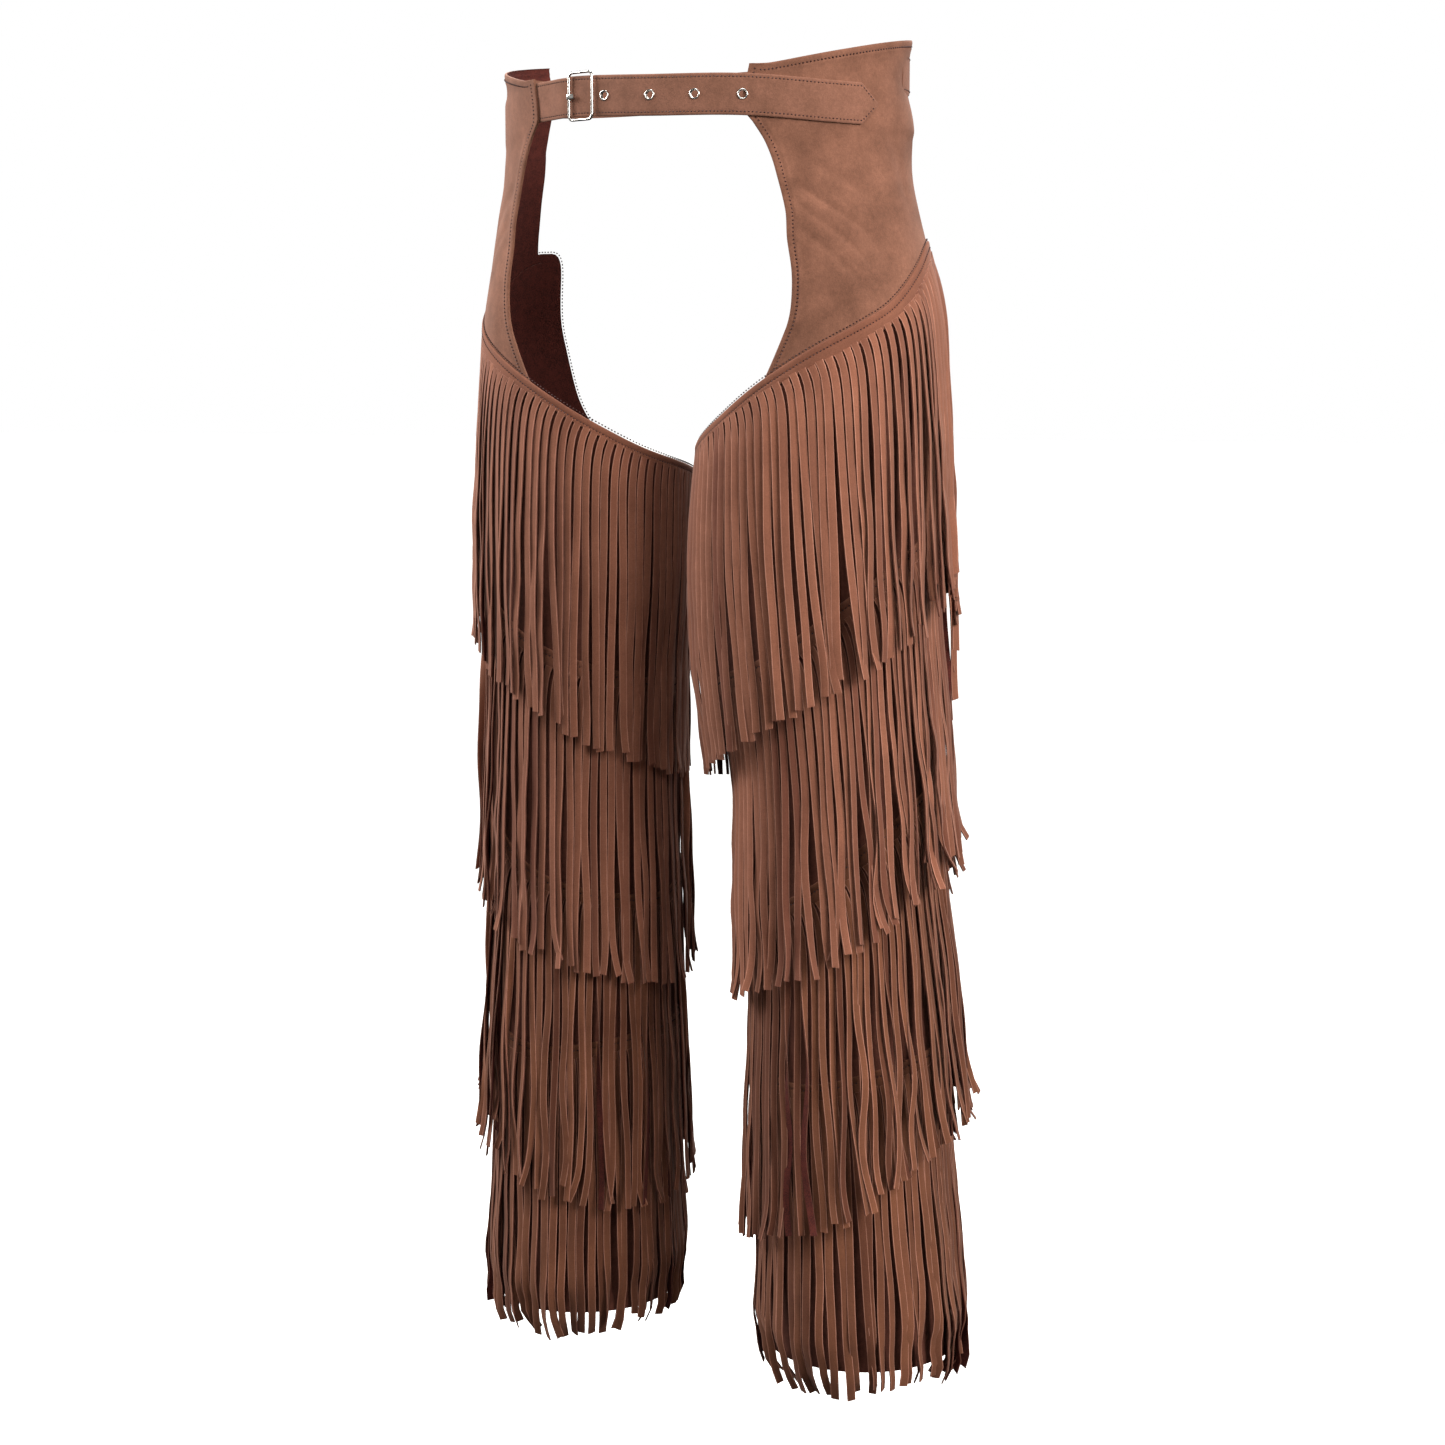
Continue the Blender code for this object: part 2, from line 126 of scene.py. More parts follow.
# The left inner thigh is full in front and the right one slack behind: the angle of each, how
# wide it reaches, by how much the cloth and the top tier's ends move, between which heights,
# and over what height that eases in at the top and out at the bottom
THIGH_ANGLE = {1: -62, -1: -118}
THIGH_SPREAD = 38
THIGH_FULL = {1: 8 * MM, -1: -6 * MM}
THIGH_STAND_OFF = {1: 0.55, -1: -0.7}
THIGH_HIGH = -0.205
THIGH_LOW = -0.52
THIGH_EASE_HIGH = 0.05
THIGH_EASE_LOW = 0.12

# Belt: its middle line as angle, height, the angles of its ends and where its point begins
BELT_WIDTH = 0.029
BELT_LINE = (
    (-42, 0.0005), (-17, 0.0010), (8, -0.0019), (32, -0.0034), (57, -0.0076), (80, -0.0085),
)
BELT_TIP_ANGLE = 74.9
BELT_TIP_WIDTH = 0.0024
BELT_SHOULDER_ANGLE = 68.2
BELT_END_ANGLE = -17.2

# Buckle strap: the angles of its ends, and those between which it comes out from the panel
BUCKLE_STRAP_ANGLES = (-44.0, -14.0)
BUCKLE_STRAP_RISE = (-28.0, -20.0)
BUCKLE_STRAP_WIDTH = 0.0285

EYELET_ANGLES = (-5.6, 7.5, 19.5, 32.1)
EYELET_HOLE = 3.0 * MM

BUCKLE_ANGLE = -12.7
BUCKLE_LENGTH = 0.0222
BUCKLE_HEIGHT = 0.0335
BUCKLE_WIRE = 0.0010
BUCKLE_CORNER = 0.0035

BACK_STRAP_WIDTH = 0.028
BACK_STRAP_END_ANGLE = 94.0
BACK_STRAP_END_HEIGHT = 0.018
BACK_STRAP_RISE = 0.009

# Stitches, and the thread's radius where it sews each kind of piece
STITCH_PITCH = 2.75 * MM
STITCH_LENGTH = 1.5 * MM
PANEL_THREAD = 0.58 * MM
TIER_THREAD = 0.52 * MM
STRAP_THREAD = 0.46 * MM
THREAD_SUNK = 0.15 * MM
THREAD_SIDES = 6

# One stitch from end to end: place along it, share of its thickness
STITCH_RINGS = ((-1.0, 0.35), (-0.6, 0.9), (0.0, 1.0), (0.6, 0.9), (1.0, 0.35))

SIDES = {"left": 1, "right": -1}


# Shape helpers


def hermite(rows, at):
    """Each value of a short table at this place, on a smooth curve through its rows."""
    if at <= rows[0][0]:
        return rows[0][1:]
    if at >= rows[-1][0]:
        return rows[-1][1:]
    k = next(i for i in range(len(rows) - 1) if rows[i + 1][0] >= at)
    low, high = rows[k], rows[k + 1]
    before = rows[max(k - 1, 0)]
    after = rows[min(k + 2, len(rows) - 1)]
    step = high[0] - low[0]
    u = (at - low[0]) / step
    values = []
    for column in range(1, len(low)):
        slope_low = (high[column] - before[column]) / (high[0] - before[0])
        slope_high = (after[column] - low[column]) / (after[0] - low[0])
        values.append(
            (2 * u**3 - 3 * u**2 + 1) * low[column]
            + (u**3 - 2 * u**2 + u) * step * slope_low
            + (3 * u**2 - 2 * u**3) * high[column]
            + (u**3 - u**2) * step * slope_high
        )
    return values


LEG_SECTIONS = tuple(sorted(LEG_SECTIONS))
PANEL_SIDE_EDGES = tuple(sorted(PANEL_SIDE_EDGES))


def closed_line(line):
    """A line round the leg with a lap before and after, so that it closes on itself."""
    return tuple(sorted((a + lap, height) for lap in (-360, 0, 360) for a, height in line))


TIER_LINES = [closed_line(tier["line"]) for tier in FRINGE_TIERS]


def wrapped(angle):
    """The same angle, between -180 and 180."""
    return (angle + 180) % 360 - 180


def around(line, angle):
    """The value of a line round the leg at this angle."""
    return hermite(line, wrapped(angle))[0]


def steps(first, last, count):
    return [first + (last - first) * k / count for k in range(count + 1)]


def smooth(u):
    u = min(max(u, 0.0), 1.0)
    return u * u * (3 - 2 * u)


def bell(distance, spread):
    """1 at no distance, and close to 0 beyond twice the spread."""
    return math.exp(-((distance / spread) ** 2))


def at_inner_thigh(side, angle):
    """1 where the inner thigh is fuller or slacker than the plain ellipse, 0 away from it."""
    return bell(wrapped(angle) - THIGH_ANGLE[side], THIGH_SPREAD)


def surface(side, angle, height, out=0.0):
    """A point on the surface that the cloth lies on, moved out by this much."""
    if THIGH_LOW < height < THIGH_HIGH:
        reach = smooth((THIGH_HIGH - height) / THIGH_EASE_HIGH)
        reach *= smooth((height - THIGH_LOW) / THIGH_EASE_LOW)
        out += THIGH_FULL[side] * reach * at_inner_thigh(side, angle)
    centre_x, centre_y, half_width, half_depth = hermite(LEG_SECTIONS, height)
    leg = smooth((HIP_TOP - height) / (HIP_TOP - HIP_BOTTOM))
    turn = math.radians(angle)
    x = (1 - leg) * (WAIST_HALF_WIDTH + out) * math.sin(turn)
    y = -(1 - leg) * (WAIST_HALF_DEPTH + out) * math.cos(turn)
    x += leg * (centre_x + (half_width + out) * math.sin(turn))
    y += leg * (centre_y - (half_depth + out) * math.cos(turn))
    return Vector((side * x, y, height))


def frame_at(side, angle, height, out):
    """A point on the surface, its directions along and away, and metres in a degree."""
    point = surface(side, angle, height, out)
    along = surface(side, angle + 0.5, height, out) - surface(side, angle - 0.5, height, out)
    degree = along.length
    along /= degree
    away = surface(side, angle, height, out + 0.01) - point
    away -= along * away.dot(along)
    return point, along, away.normalized(), degree


def panel_angle(share, height):
    front, back = hermite(PANEL_SIDE_EDGES, height)
    return front + (back - front) * share


def waist_edge(angle):
    return hermite(PANEL_TOP_EDGE, angle)[0]


def panel_seam(angle):
    """The height of the seam between the hip panel and the leg, under the top band."""
    return around(TIER_LINES[0], angle) - PANEL_BELOW_LINE


def panel_end(share, edge):
    """The height at which this share of a panel's width meets its top or bottom edge."""
    height = 0.0
    for _ in range(12):
        height = edge(panel_angle(share, height))
    return height


def belt_height(angle):
    return hermite(BELT_LINE, angle)[0]


# Mesh helpers


def grid_faces(columns, rows, closed, side):
    """Quads of a grid stored row by row, top row first, facing out on this side."""
    faces = []
    for row in range(rows - 1):
        for column in range(columns if closed else columns - 1):
            after = (column + 1) % columns
            quad = (
                row * columns + column,
                (row + 1) * columns + column,
                (row + 1) * columns + after,
                row * columns + after,
            )
            faces.append(quad if side > 0 else quad[::-1])
    return faces


def slab(front, back, faces):
    """A closed sheet from two grids of points, with the rim that joins them."""
    count = len(front)
    edges = {(f[i], f[(i + 1) % len(f)]) for f in faces for i in range(len(f))}
    rim = [(b, a, a + count, b + count) for a, b in sorted(edges) if (b, a) not in edges]
    reverse = [tuple(i + count for i in f[::-1]) for f in faces]
    finish = [0] * len(faces) + [1] * len(reverse) + [0] * len(rim)
    return front + back, faces + reverse + rim, finish


def ring(centre, across, away, radius, sides):
    """Points on a circle round this centre."""
    turns = [2 * math.pi * k / sides for k in range(sides)]
    return [
        centre + across * (radius * math.cos(turn)) + away * (radius * math.sin(turn))
        for turn in turns
    ]


def tube_faces(base, rings, sides):
    """Quads of a tube whose points start at this number, and the caps of its two ends."""
    last = base + (rings - 1) * sides
    faces = []
    for start in range(base, last, sides):
        for k in range(sides):
            a, b = start + k, start + (k + 1) % sides
            faces.append((a, a + sides, b + sides, b))
    return faces + [tuple(range(base, base + sides)), tuple(range(last, last + sides))[::-1]]


def hoop_faces(count, sides):
    """Quads of a closed hoop of this many sections, each of this many corners."""
    faces = []
    for k in range(count):
        after = (k + 1) % count
        for j in range(sides):
            j2 = (j + 1) % sides
            faces.append((k * sides + j, after * sides + j, after * sides + j2, k * sides + j2))
    return faces


def front_area(points, faces):
    total = 0.0
    for f in faces:
        a, b, c, d = (points[i] for i in f)
        total += ((b - a).cross(c - a).length + (c - a).cross(d - a).length) / 2
    return total


def piece(name, points, faces, materials, replaces=(), finish=None, crease=40):
    """A mesh object that rides on the body, with its finish and the nodes it replaces."""
    mesh = bpy.data.meshes.new(name)
    mesh.from_pydata([tuple(p) for p in points], [], faces)
    made = bpy.data.objects.new(name, mesh)
    bpy.context.scene.collection.objects.link(made)
    for material in materials:
        mesh.materials.append(material)
    if finish:
        mesh.polygons.foreach_set("material_index", finish)
    mesh.shade_smooth()
    mesh.set_sharp_from_angle(angle=math.radians(crease))
    mesh.update()
    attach(made, "root")
    if replaces:
        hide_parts(*replaces)
    return made


def path_length(points):
    return sum((b - a).length for a, b in zip(points, points[1:]))


def stitch_row(path, radius, points, faces):
    """Short rounded threads along a path of (point, away) places, each sunk at its ends."""
    travelled = 0.0
    due = STITCH_PITCH / 2
    for (p, p_away), (q, q_away) in zip(path, path[1:]):
        stretch = (q - p).length
        while stretch > 0 and travelled + stretch >= due:
            u = (due - travelled) / stretch
            middle = p.lerp(q, u)
            away = p_away.lerp(q_away, u).normalized()
            along = (q - p).normalized()
            across = along.cross(away)
            base = len(points)
            for position, share in STITCH_RINGS:
                centre = middle + along * (position * STITCH_LENGTH / 2)
                centre += away * (radius * (0.3 - 0.9 * position * position))
                points.extend(ring(centre, across, away, radius * share, THREAD_SIDES))
            faces.extend(tube_faces(base, len(STITCH_RINGS), THREAD_SIDES))
            due += STITCH_PITCH
        travelled += stretch


def stitches(name, paths, radius):
    """The thread of one piece, in rows along these paths."""
    points = []
    faces = []
    for path in paths:
        stitch_row(path, radius, points, faces)
    return piece(name, points, faces, [SHADED_THREAD])


# Materials


def linear(code):
    """An sRGB hex colour as linear RGBA."""
    parts = [int(code[i : i + 2], 16) / 255 for i in (1, 3, 5)]
    return (*[c / 12.92 if c <= 0.04045 else ((c + 0.055) / 1.055) ** 2.4 for c in parts], 1.0)


def fill(tree, node, inputs):
    """The values of a node's sockets and the links that come into them."""
    for socket, value in dict(inputs).items():
        if isinstance(value, bpy.types.NodeSocket):
            tree.links.new(value, node.inputs[socket])
        else:
            node.inputs[socket].default_value = value


def add_node(tree, kind, inputs=(), **settings):
    """A shader node with its settings, its values and the links that come into it."""
    node = tree.nodes.new("ShaderNode" + kind)
    for name, value in settings.items():
        setattr(node, name, value)
    fill(tree, node, inputs)
    return node


def new_material(name):
    """A material, its node tree, its shader and the place that its patterns are laid out by."""
    material = bpy.data.materials.new(name)
    material.use_nodes = True
    tree = material.node_tree
    place = add_node(tree, "TexCoord").outputs["Object"]
    return material, tree, tree.nodes["Principled BSDF"], place


def features(size):
    """Noise scale whose features are this many millimetres across."""
    return 1 / (size * MM)


def brushed_suede(name, light, dark, reddish, shade, sheen=0.35, cloud=16, mottle=0.13):
    """Polyester microfibre suede, brushed: matt, with a soft pale nap and cloudy marks where
    the nap lies another way. Strands take a tone of their own from the shade attribute, partly
    random and partly painted shade, darker and redder where they hang in shadow."""
    material, tree, shader, place = new_material(name)
    # Clouds of nap, the marks of the brush and tufts of fibre: millimetres, detail, roughness
    clouds, brushed, fibres = [
        add_node(
            tree, "TexNoise",
            {"Vector": place, "Scale": features(size), "Detail": detail, "Roughness": rough},
        ).outputs["Fac"]
        for size, detail, rough in ((cloud, 4.0, 0.6), (2.6, 4.0, 0.65), (0.9, 2.0, 0.6))
    ]
    # Each strand's tone from the shade attribute: partly random, partly painted shade
    tone_and_shade = add_node(tree, "Attribute", attribute_name="shade").outputs["Fac"]
    cloud_share = add_node(tree, "MapRange", {"Value": clouds, "From Min": 0.3, "From Max": 0.7})
    ground = add_node(
        tree, "Mix",
        {"Factor": cloud_share.outputs["Result"], "A": linear(dark), "B": linear(light)},
        data_type="RGBA",
    )
    strand = add_node(
        tree, "MapRange", {"Value": tone_and_shade, "From Min": 0.5, "From Max": 0.0, "To Max": shade}
    )
    tinted = add_node(
        tree, "Mix",
        {"Factor": strand.outputs["Result"], "A": ground.outputs["Result"], "B": linear(reddish)},
        data_type="RGBA",
    )
    grain, fine_grain = [
        add_node(
            tree, "MapRange",
            {"Value": pattern, "From Min": 0.3, "From Max": 0.7,
             "To Min": 1 - depth, "To Max": 1 + depth},
        ).outputs["Result"]
        for pattern, depth in ((brushed, mottle), (fibres, 0.12))
    ]
    both = add_node(tree, "Math", {0: grain, 1: fine_grain}, operation="MULTIPLY")
    tone_and_shade_value = add_node(tree, "MapRange", {"Value": tone_and_shade, "To Min": 0.70, "To Max": 1.20})
    value = add_node(
        tree, "Math", {0: both.outputs[0], 1: tone_and_shade_value.outputs["Result"]}, operation="MULTIPLY"
    )
    colour = add_node(
        tree, "HueSaturation", {"Color": tinted.outputs["Result"], "Value": value.outputs[0]}
    )
    rise = add_node(tree, "Math", {0: brushed, 1: fibres}, operation="ADD")
    bump = add_node(
        tree, "Bump", {"Height": rise.outputs[0], "Strength": 0.35, "Distance": 0.25 * MM}
    )
    fill(tree, shader, {
        "Base Color": colour.outputs["Color"], "Normal": bump.outputs["Normal"],
        "Roughness": 0.92, "Specular IOR Level": 0.25,
        "Sheen Weight": sheen, "Sheen Roughness": 0.45, "Sheen Tint": linear("#F2C9B8"),
    })
    return material


def knit_reverse(name, light, dark):
    """The reverse of the suede: a tight knitted ground, darker and redder, with no nap."""
    material, tree, shader, place = new_material(name)
    blotches = add_node(tree, "TexNoise", {"Vector": place, "Scale": features(7), "Detail": 3.0})
    # The real loops are 0.4 mm; drawn at 1 mm so that they show
    loops = add_node(
        tree, "TexVoronoi", {"Vector": place, "Scale": features(1.0)}
    ).outputs["Distance"]
    share = add_node(tree, "Math", {0: blotches.outputs["Fac"], 1: loops}, operation="MULTIPLY")
    spread = add_node(
        tree, "MapRange", {"Value": share.outputs[0], "From Min": 0.05, "From Max": 0.4}
    )
    ground = add_node(
        tree, "Mix",
        {"Factor": spread.outputs["Result"], "A": linear(light), "B": linear(dark)},
        data_type="RGBA",
    )
    bump = add_node(tree, "Bump", {"Height": loops, "Strength": 0.3, "Distance": 0.2 * MM})
    fill(tree, shader, {
        "Base Color": ground.outputs["Result"], "Normal": bump.outputs["Normal"],
        "Roughness": 0.95, "Specular IOR Level": 0.2,
    })
    return material


def spun_thread(name, light, dark):
    """Spun polyester sewing thread: twisted plies, a faint shine, darker than the cloth, and
    drawn darker still as painted shade of the stitch holes.
    """
    material, tree, shader, place = new_material(name)
    # Ply twist is 0.3 mm; drawn at 0.6 mm so that it shows
    twist = add_node(
        tree, "TexNoise", {"Vector": place, "Scale": features(0.6), "Detail": 2.0}
    ).outputs["Fac"]
    colour = add_node(
        tree, "Mix", {"Factor": twist, "A": linear(dark), "B": linear(light)}, data_type="RGBA"
    )
    bump = add_node(tree, "Bump", {"Height": twist, "Strength": 0.4, "Distance": 0.1 * MM})
    fill(tree, shader, {
        "Base Color": colour.outputs["Result"], "Normal": bump.outputs["Normal"],
        "Roughness": 0.6,
    })
    return material


def nickel_plate(name):
    """Nickel plate on steel wire, polished: bright, a little warm, with faint handling wear
    that blurs the reflections in patches."""
    material, tree, shader, place = new_material(name)
    wear = add_node(
        tree, "TexNoise", {"Vector": place, "Scale": features(3), "Detail": 5.0, "Roughness": 0.7}
    ).outputs["Fac"]
    rough = add_node(
        tree, "MapRange",
        {"Value": wear, "From Min": 0.35, "From Max": 0.7, "To Min": 0.10, "To Max": 0.24},
    )
    tone = add_node(
        tree, "Mix",
        {"Factor": wear, "A": linear("#BDB8B0"), "B": linear("#DAD6CF")},
        data_type="RGBA",
    )
    fill(tree, shader, {
        "Roughness": rough.outputs["Result"], "Base Color": tone.outputs["Result"],
        "Metallic": 1.0,
    })
    return material


def studio_paper(name):
    """Matt seamless background paper, off-white, with the faintest fibre mottle. It glows a
    little, so that it meets the white behind it with no grey edge."""
    material, tree, shader, place = new_material(name)
    mottle = add_node(tree, "TexNoise", {"Vector": place, "Scale": features(40), "Detail": 3.0})
    colour = add_node(
        tree, "Mix",
        {"Factor": mottle.outputs["Fac"], "A": linear("#F4F3F1"), "B": linear("#F8F7F5")},
        data_type="RGBA",
    )
    fill(tree, shader, {
        "Base Color": colour.outputs["Result"], "Roughness": 0.9,
        "Emission Color": linear("#F8F7F5"), "Emission Strength": 0.35,
    })
    return material


PANEL_SUEDE = brushed_suede(
    "brushed_suede_panel", "#93624C", "#744B38", "#8E5240", 0.0, 0.3, cloud=24, mottle=0.12
)
FRINGE_SUEDE = brushed_suede(
    "brushed_suede_fringe", "#80503C", "#704432", "#6A3225", 0.5, 0.25, cloud=40, mottle=0.05
)
# The lower tiers: the fringe's suede drawn darker, as painted shade where the light falls off
SHADED_LOW_FRINGE_SUEDE = brushed_suede(
    "brushed_suede_low_fringe_painted_shade", "#734630", "#623A28", "#5B2A1B", 0.5, 0.2, cloud=40, mottle=0.05
)
# Cut edges: a little paler than the face, and paler still as a painted highlight along them
CUT_EDGE_HIGHLIGHT = brushed_suede(
    "cut_suede_edge_painted_highlight", "#A26F5B", "#91604C", "#91604C", 0.0, 0.3, cloud=10, mottle=0.05
)
# Sides of the strands inside the slits: the same suede, drawn dark as painted shade
SLIT_SIDE_SHADE = brushed_suede(
    "cut_suede_slit_painted_shade", "#6A4032", "#553125", "#553125", 0.0, 0.1, cloud=10, mottle=0.05
)
# The leg's suede under the fringe, drawn darker as painted shade where it shows between the
# strands
SHADED_LEG_SUEDE = brushed_suede("brushed_suede_leg_painted_shade", "#774434", "#603427", "#4F261B", 0.0, 0.1)
BELT_SUEDE = brushed_suede("brushed_suede_belt", "#966550", "#835743", "#7A4535", 0.0, 0.3)
REVERSE = knit_reverse("knit_reverse", "#5A2820", "#3F1B16")
# Dark thread, drawn darker still as painted shade of the stitch holes
SHADED_THREAD = spun_thread("polyester_thread_painted_shade", "#43190F", "#260C07")
NICKEL = nickel_plate("nickel_plate_polished")
PAPER = studio_paper("studio_paper")


# Hip panels and legs

# Turned hem: its width, what the second layer adds, the groove of its stitches, its round edge
HEM_WIDTH = 7.5 * MM
HEM_LAYER = 0.35 * MM
STITCH_INSET = 4.6 * MM
GROOVE = 0.35 * MM
GROOVE_SPREAD = 0.9 * MM
EDGE_ROUND = 0.6 * MM
EDGE_ROUND_REACH = 0.7 * MM


def hem_relief(distance):
    """How far a turned and stitched edge stands out, this far in from the edge."""
    doubled = HEM_LAYER * smooth((HEM_WIDTH + 1 * MM - distance) / (2 * MM))
    groove = GROOVE * bell(distance - STITCH_INSET, GROOVE_SPREAD)
    rounded = EDGE_ROUND * math.exp(-max(distance, 0.0) / EDGE_ROUND_REACH)
    return doubled - groove - rounded


# Creases in the hip panels: side, start angle, start height, end angle, end height, width, depth
PANEL_CREASES = (
    (1, 41, -0.064, 64, -0.102, 3.0 * MM, 0.9 * MM),
    (1, 39, -0.078, 60, -0.122, 3.0 * MM, 0.8 * MM),
    (1, 45, -0.044, 68, -0.074, 4.0 * MM, 0.8 * MM),
    (1, 36, -0.096, 54, -0.140, 3.0 * MM, 0.6 * MM),
    (1, 84, -0.030, 92, -0.085, 8 * MM, 0.7 * MM),
    (-1, 42, -0.058, 60, -0.092, 6 * MM, 0.9 * MM),
    (-1, 40, -0.086, 56, -0.120, 5 * MM, 0.7 * MM),
    (-1, 80, -0.028, 90, -0.090, 8 * MM, 0.7 * MM),
)
CREASE_DEGREE = 2.0 * MM

# Metres in a degree of the panel, the depth of its slow swells, how far the belt flattens them,
# and how far the panel's back is pulled in at the strap and swells under it
PANEL_DEGREE = 1.9 * MM
PANEL_SWELL = 2.2 * MM
BELT_FLATTENS = 13 * MM
PULLED_IN = 4 * MM
SWELLS_OUT = 2.5 * MM


def crease_depth(side, angle, height):
    depth = 0.0
    for crease_side, a0, h0, a1, h1, width, deep in PANEL_CREASES:
        if crease_side != side:
            continue
        start = Vector((a0 * CREASE_DEGREE, h0))
        end = Vector((a1 * CREASE_DEGREE, h1))
        here = Vector((angle * CREASE_DEGREE, height))
        run = end - start
        u = (here - start).dot(run) / run.length_squared
        across = (here - start - run * u).length
        swell = smooth(u / 0.3 + 0.5) * smooth((1 - u) / 0.5 + 0.3)
        depth += deep * bell(across, width) * swell
    return depth


def panel_relief(side, angle, height, top, bottom, front):
    """How far a hip panel stands out here: its hems, its slow swells and its creases."""
    from_front = (angle - front) * PANEL_DEGREE
    from_top = top - height
    relief = hem_relief(from_top) + hem_relief(from_front)
    inward = smooth(min(from_front, from_top) / (14 * MM)) * smooth((height - bottom) / (30 * MM))
    place = Vector((side * 3.0, angle * PANEL_DEGREE, height)) * 18
    swell = noise.noise(place) * 0.5 + noise.noise(place * 2.3) * 0.25 - 0.35
    under_belt = smooth((abs(height - belt_height(angle)) - BELT_FLATTENS) / (8 * MM))
    relief += inward * under_belt * (swell * PANEL_SWELL - crease_depth(side, angle, height))
    if under_belt < 1:
        relief = min(relief, 0.0)
    behind = smooth((angle - 80) / 25)
    relief -= PULLED_IN * behind * bell(height - 0.012, 0.016)
    relief += SWELLS_OUT * behind * bell(height + 0.026, 0.018)
    return relief


def cloth_wall(name, side, places, columns, closed, suede):
    """A wall of cloth from rows of (angle, height, relief): its piece, outer face and area."""
    front = [surface(side, angle, height, relief) for angle, height, relief in places]
    back = [surface(side, angle, height, relief - CLOTH) for angle, height, relief in places]
    faces = grid_faces(columns, len(places) // columns, closed, side)
    area = front_area(front, faces)
    points, faces, finish = slab(front, back, faces)
    made = piece(f"{name}_cloth", points, faces, [suede, REVERSE], [name], finish)
    return made, front, area


# Shares of the way across and down a panel: close rows over the stitched hem, then even ones
PANEL_STEPS = [0, 0.003, 0.006, 0.010, 0.014, 0.018, 0.022, 0.026, 0.030, 0.035, 0.040, 0.046]
PANEL_STEPS += steps(0.054, 1, 88)


def build_hip_panel(word, side):
    """A hip panel: its piece, its width and length along the cloth, and its area."""
    count = len(PANEL_STEPS)
    ends = [(s, panel_end(s, waist_edge), panel_end(s, panel_seam)) for s in PANEL_STEPS]
    places = []
    for down in PANEL_STEPS:
        for share, top, bottom in ends:
            height = top + (bottom - top) * down
            angle = panel_angle(share, height)
            start = hermite(PANEL_SIDE_EDGES, height)[0]
            relief = panel_relief(side, angle, height, top, bottom, start)
            places.append((angle, height, relief))
    made, front, area = cloth_wall(f"hip_panel_{word}", side, places, count, False, PANEL_SUEDE)
    width = max(path_length(front[row * count : (row + 1) * count]) for row in range(count))
    length = max(path_length(front[column::count]) for column in range(count))
    return made, width, length, area


# Panel stitches: from and to which height at the front, and which angles at the top, how far
# above the first fringe seam they stop, and how far the thread's middle is sunk
FRONT_STITCHES = (0.0155, -0.215)
TOP_STITCHES = (36.5, 103)
STITCHES_STOP = 6 * MM
PANEL_THREAD_SUNK = 0.05 * MM


def build_panel_stitches(word, side):
    front_edge = []
    for height in steps(*FRONT_STITCHES, 120):
        start = hermite(PANEL_SIDE_EDGES, height)[0]
        _, _, away, degree = frame_at(side, start, height, 0.0)
        angle = start + STITCH_INSET / degree
        if height > panel_seam(angle) + STITCHES_STOP:
            front_edge.append((surface(side, angle, height, -PANEL_THREAD_SUNK), away))
    top_edge = []
    for angle in steps(*TOP_STITCHES, 100):
        height = waist_edge(angle) - STITCH_INSET
        away = frame_at(side, angle, height, 0)[2]
        top_edge.append((surface(side, angle, height, -PANEL_THREAD_SUNK), away))
    return stitches(
        f"hip_panel_{word}_stitches", (front_edge, top_edge), PANEL_THREAD
    )


LEG_COLUMNS = 110
LEG_ROWS = 60
LEG_SWELL = 0.9 * MM


def build_leg(word, side):
    """A leg: its piece and its area."""
    places = []
    for row in range(LEG_ROWS + 1):
        for k in range(LEG_COLUMNS):
            angle = 360 * k / LEG_COLUMNS
            turn = math.radians(angle)
            top = panel_seam(angle) - SEAM_GAP
            height = top + (HEM_HEIGHT - top) * row / LEG_ROWS
            place = Vector((side * 5.0 + math.sin(turn), math.cos(turn), height * 9)) * 1.6
            places.append((angle, height, (noise.noise(place) - 0.6) * LEG_SWELL))
    # Its suede is drawn darker as painted shade under the fringe
    made, _, area = cloth_wall(f"leg_{word}", side, places, LEG_COLUMNS, True, SHADED_LEG_SUEDE)
    return made, area


# Fringe

# How far under a band's top edge its slits begin, and its welt ends
SLIT_START = 12 * MM
SLIT_START_INNER = 7 * MM
WELT = 4.7 * MM

STRAND_CLOTH = 1.15 * MM
STRAND_ROWS = 28
BAND_COLUMNS = 200

# Band across: down from its top edge, out from the leg. A welt on top, the groove of the lower
# stitches, then plain cloth down to the slits
BAND_PROFILE = (
    (0.0, 0.2), (0.0, 0.8), (0.35, 1.25), (0.9, 1.45), (3.3, 1.45), (4.1, 1.2), (4.7, 0.95),
    (5.5, 1.35), (7.5, 1.5), (10.5, 1.45), (12.4, 1.25), (13.2, 0.7), (13.2, 0.2),
)

# Rows of stitches along a band: down from its top edge, out from the leg. Only the top tier has
# the first row, which sews the panel down above it
BAND_STITCHES = ((-1.3 * MM, 0.1 * MM), (4.75 * MM, 1.1 * MM))


def slit_start(tier, angle):
    """How far under the top edge the slits begin: nearer on the top tier's inner side."""
    if tier:
        return SLIT_START
    inner = smooth((40 - wrapped(angle)) / 60)
    return SLIT_START + (SLIT_START_INNER - SLIT_START) * inner


def line_places(line, side, out, samples=720):
    """Even samples of the line: arc length so far, angle."""
    places = [(0.0, -180.0)]
    last = surface(side, -180, around(line, -180), out)
    for k in range(1, samples + 1):
        angle = -180 + 360 * k / samples
        here = surface(side, angle, around(line, angle), out)
        places.append((places[-1][0] + (here - last).length, angle))
        last = here
    return places


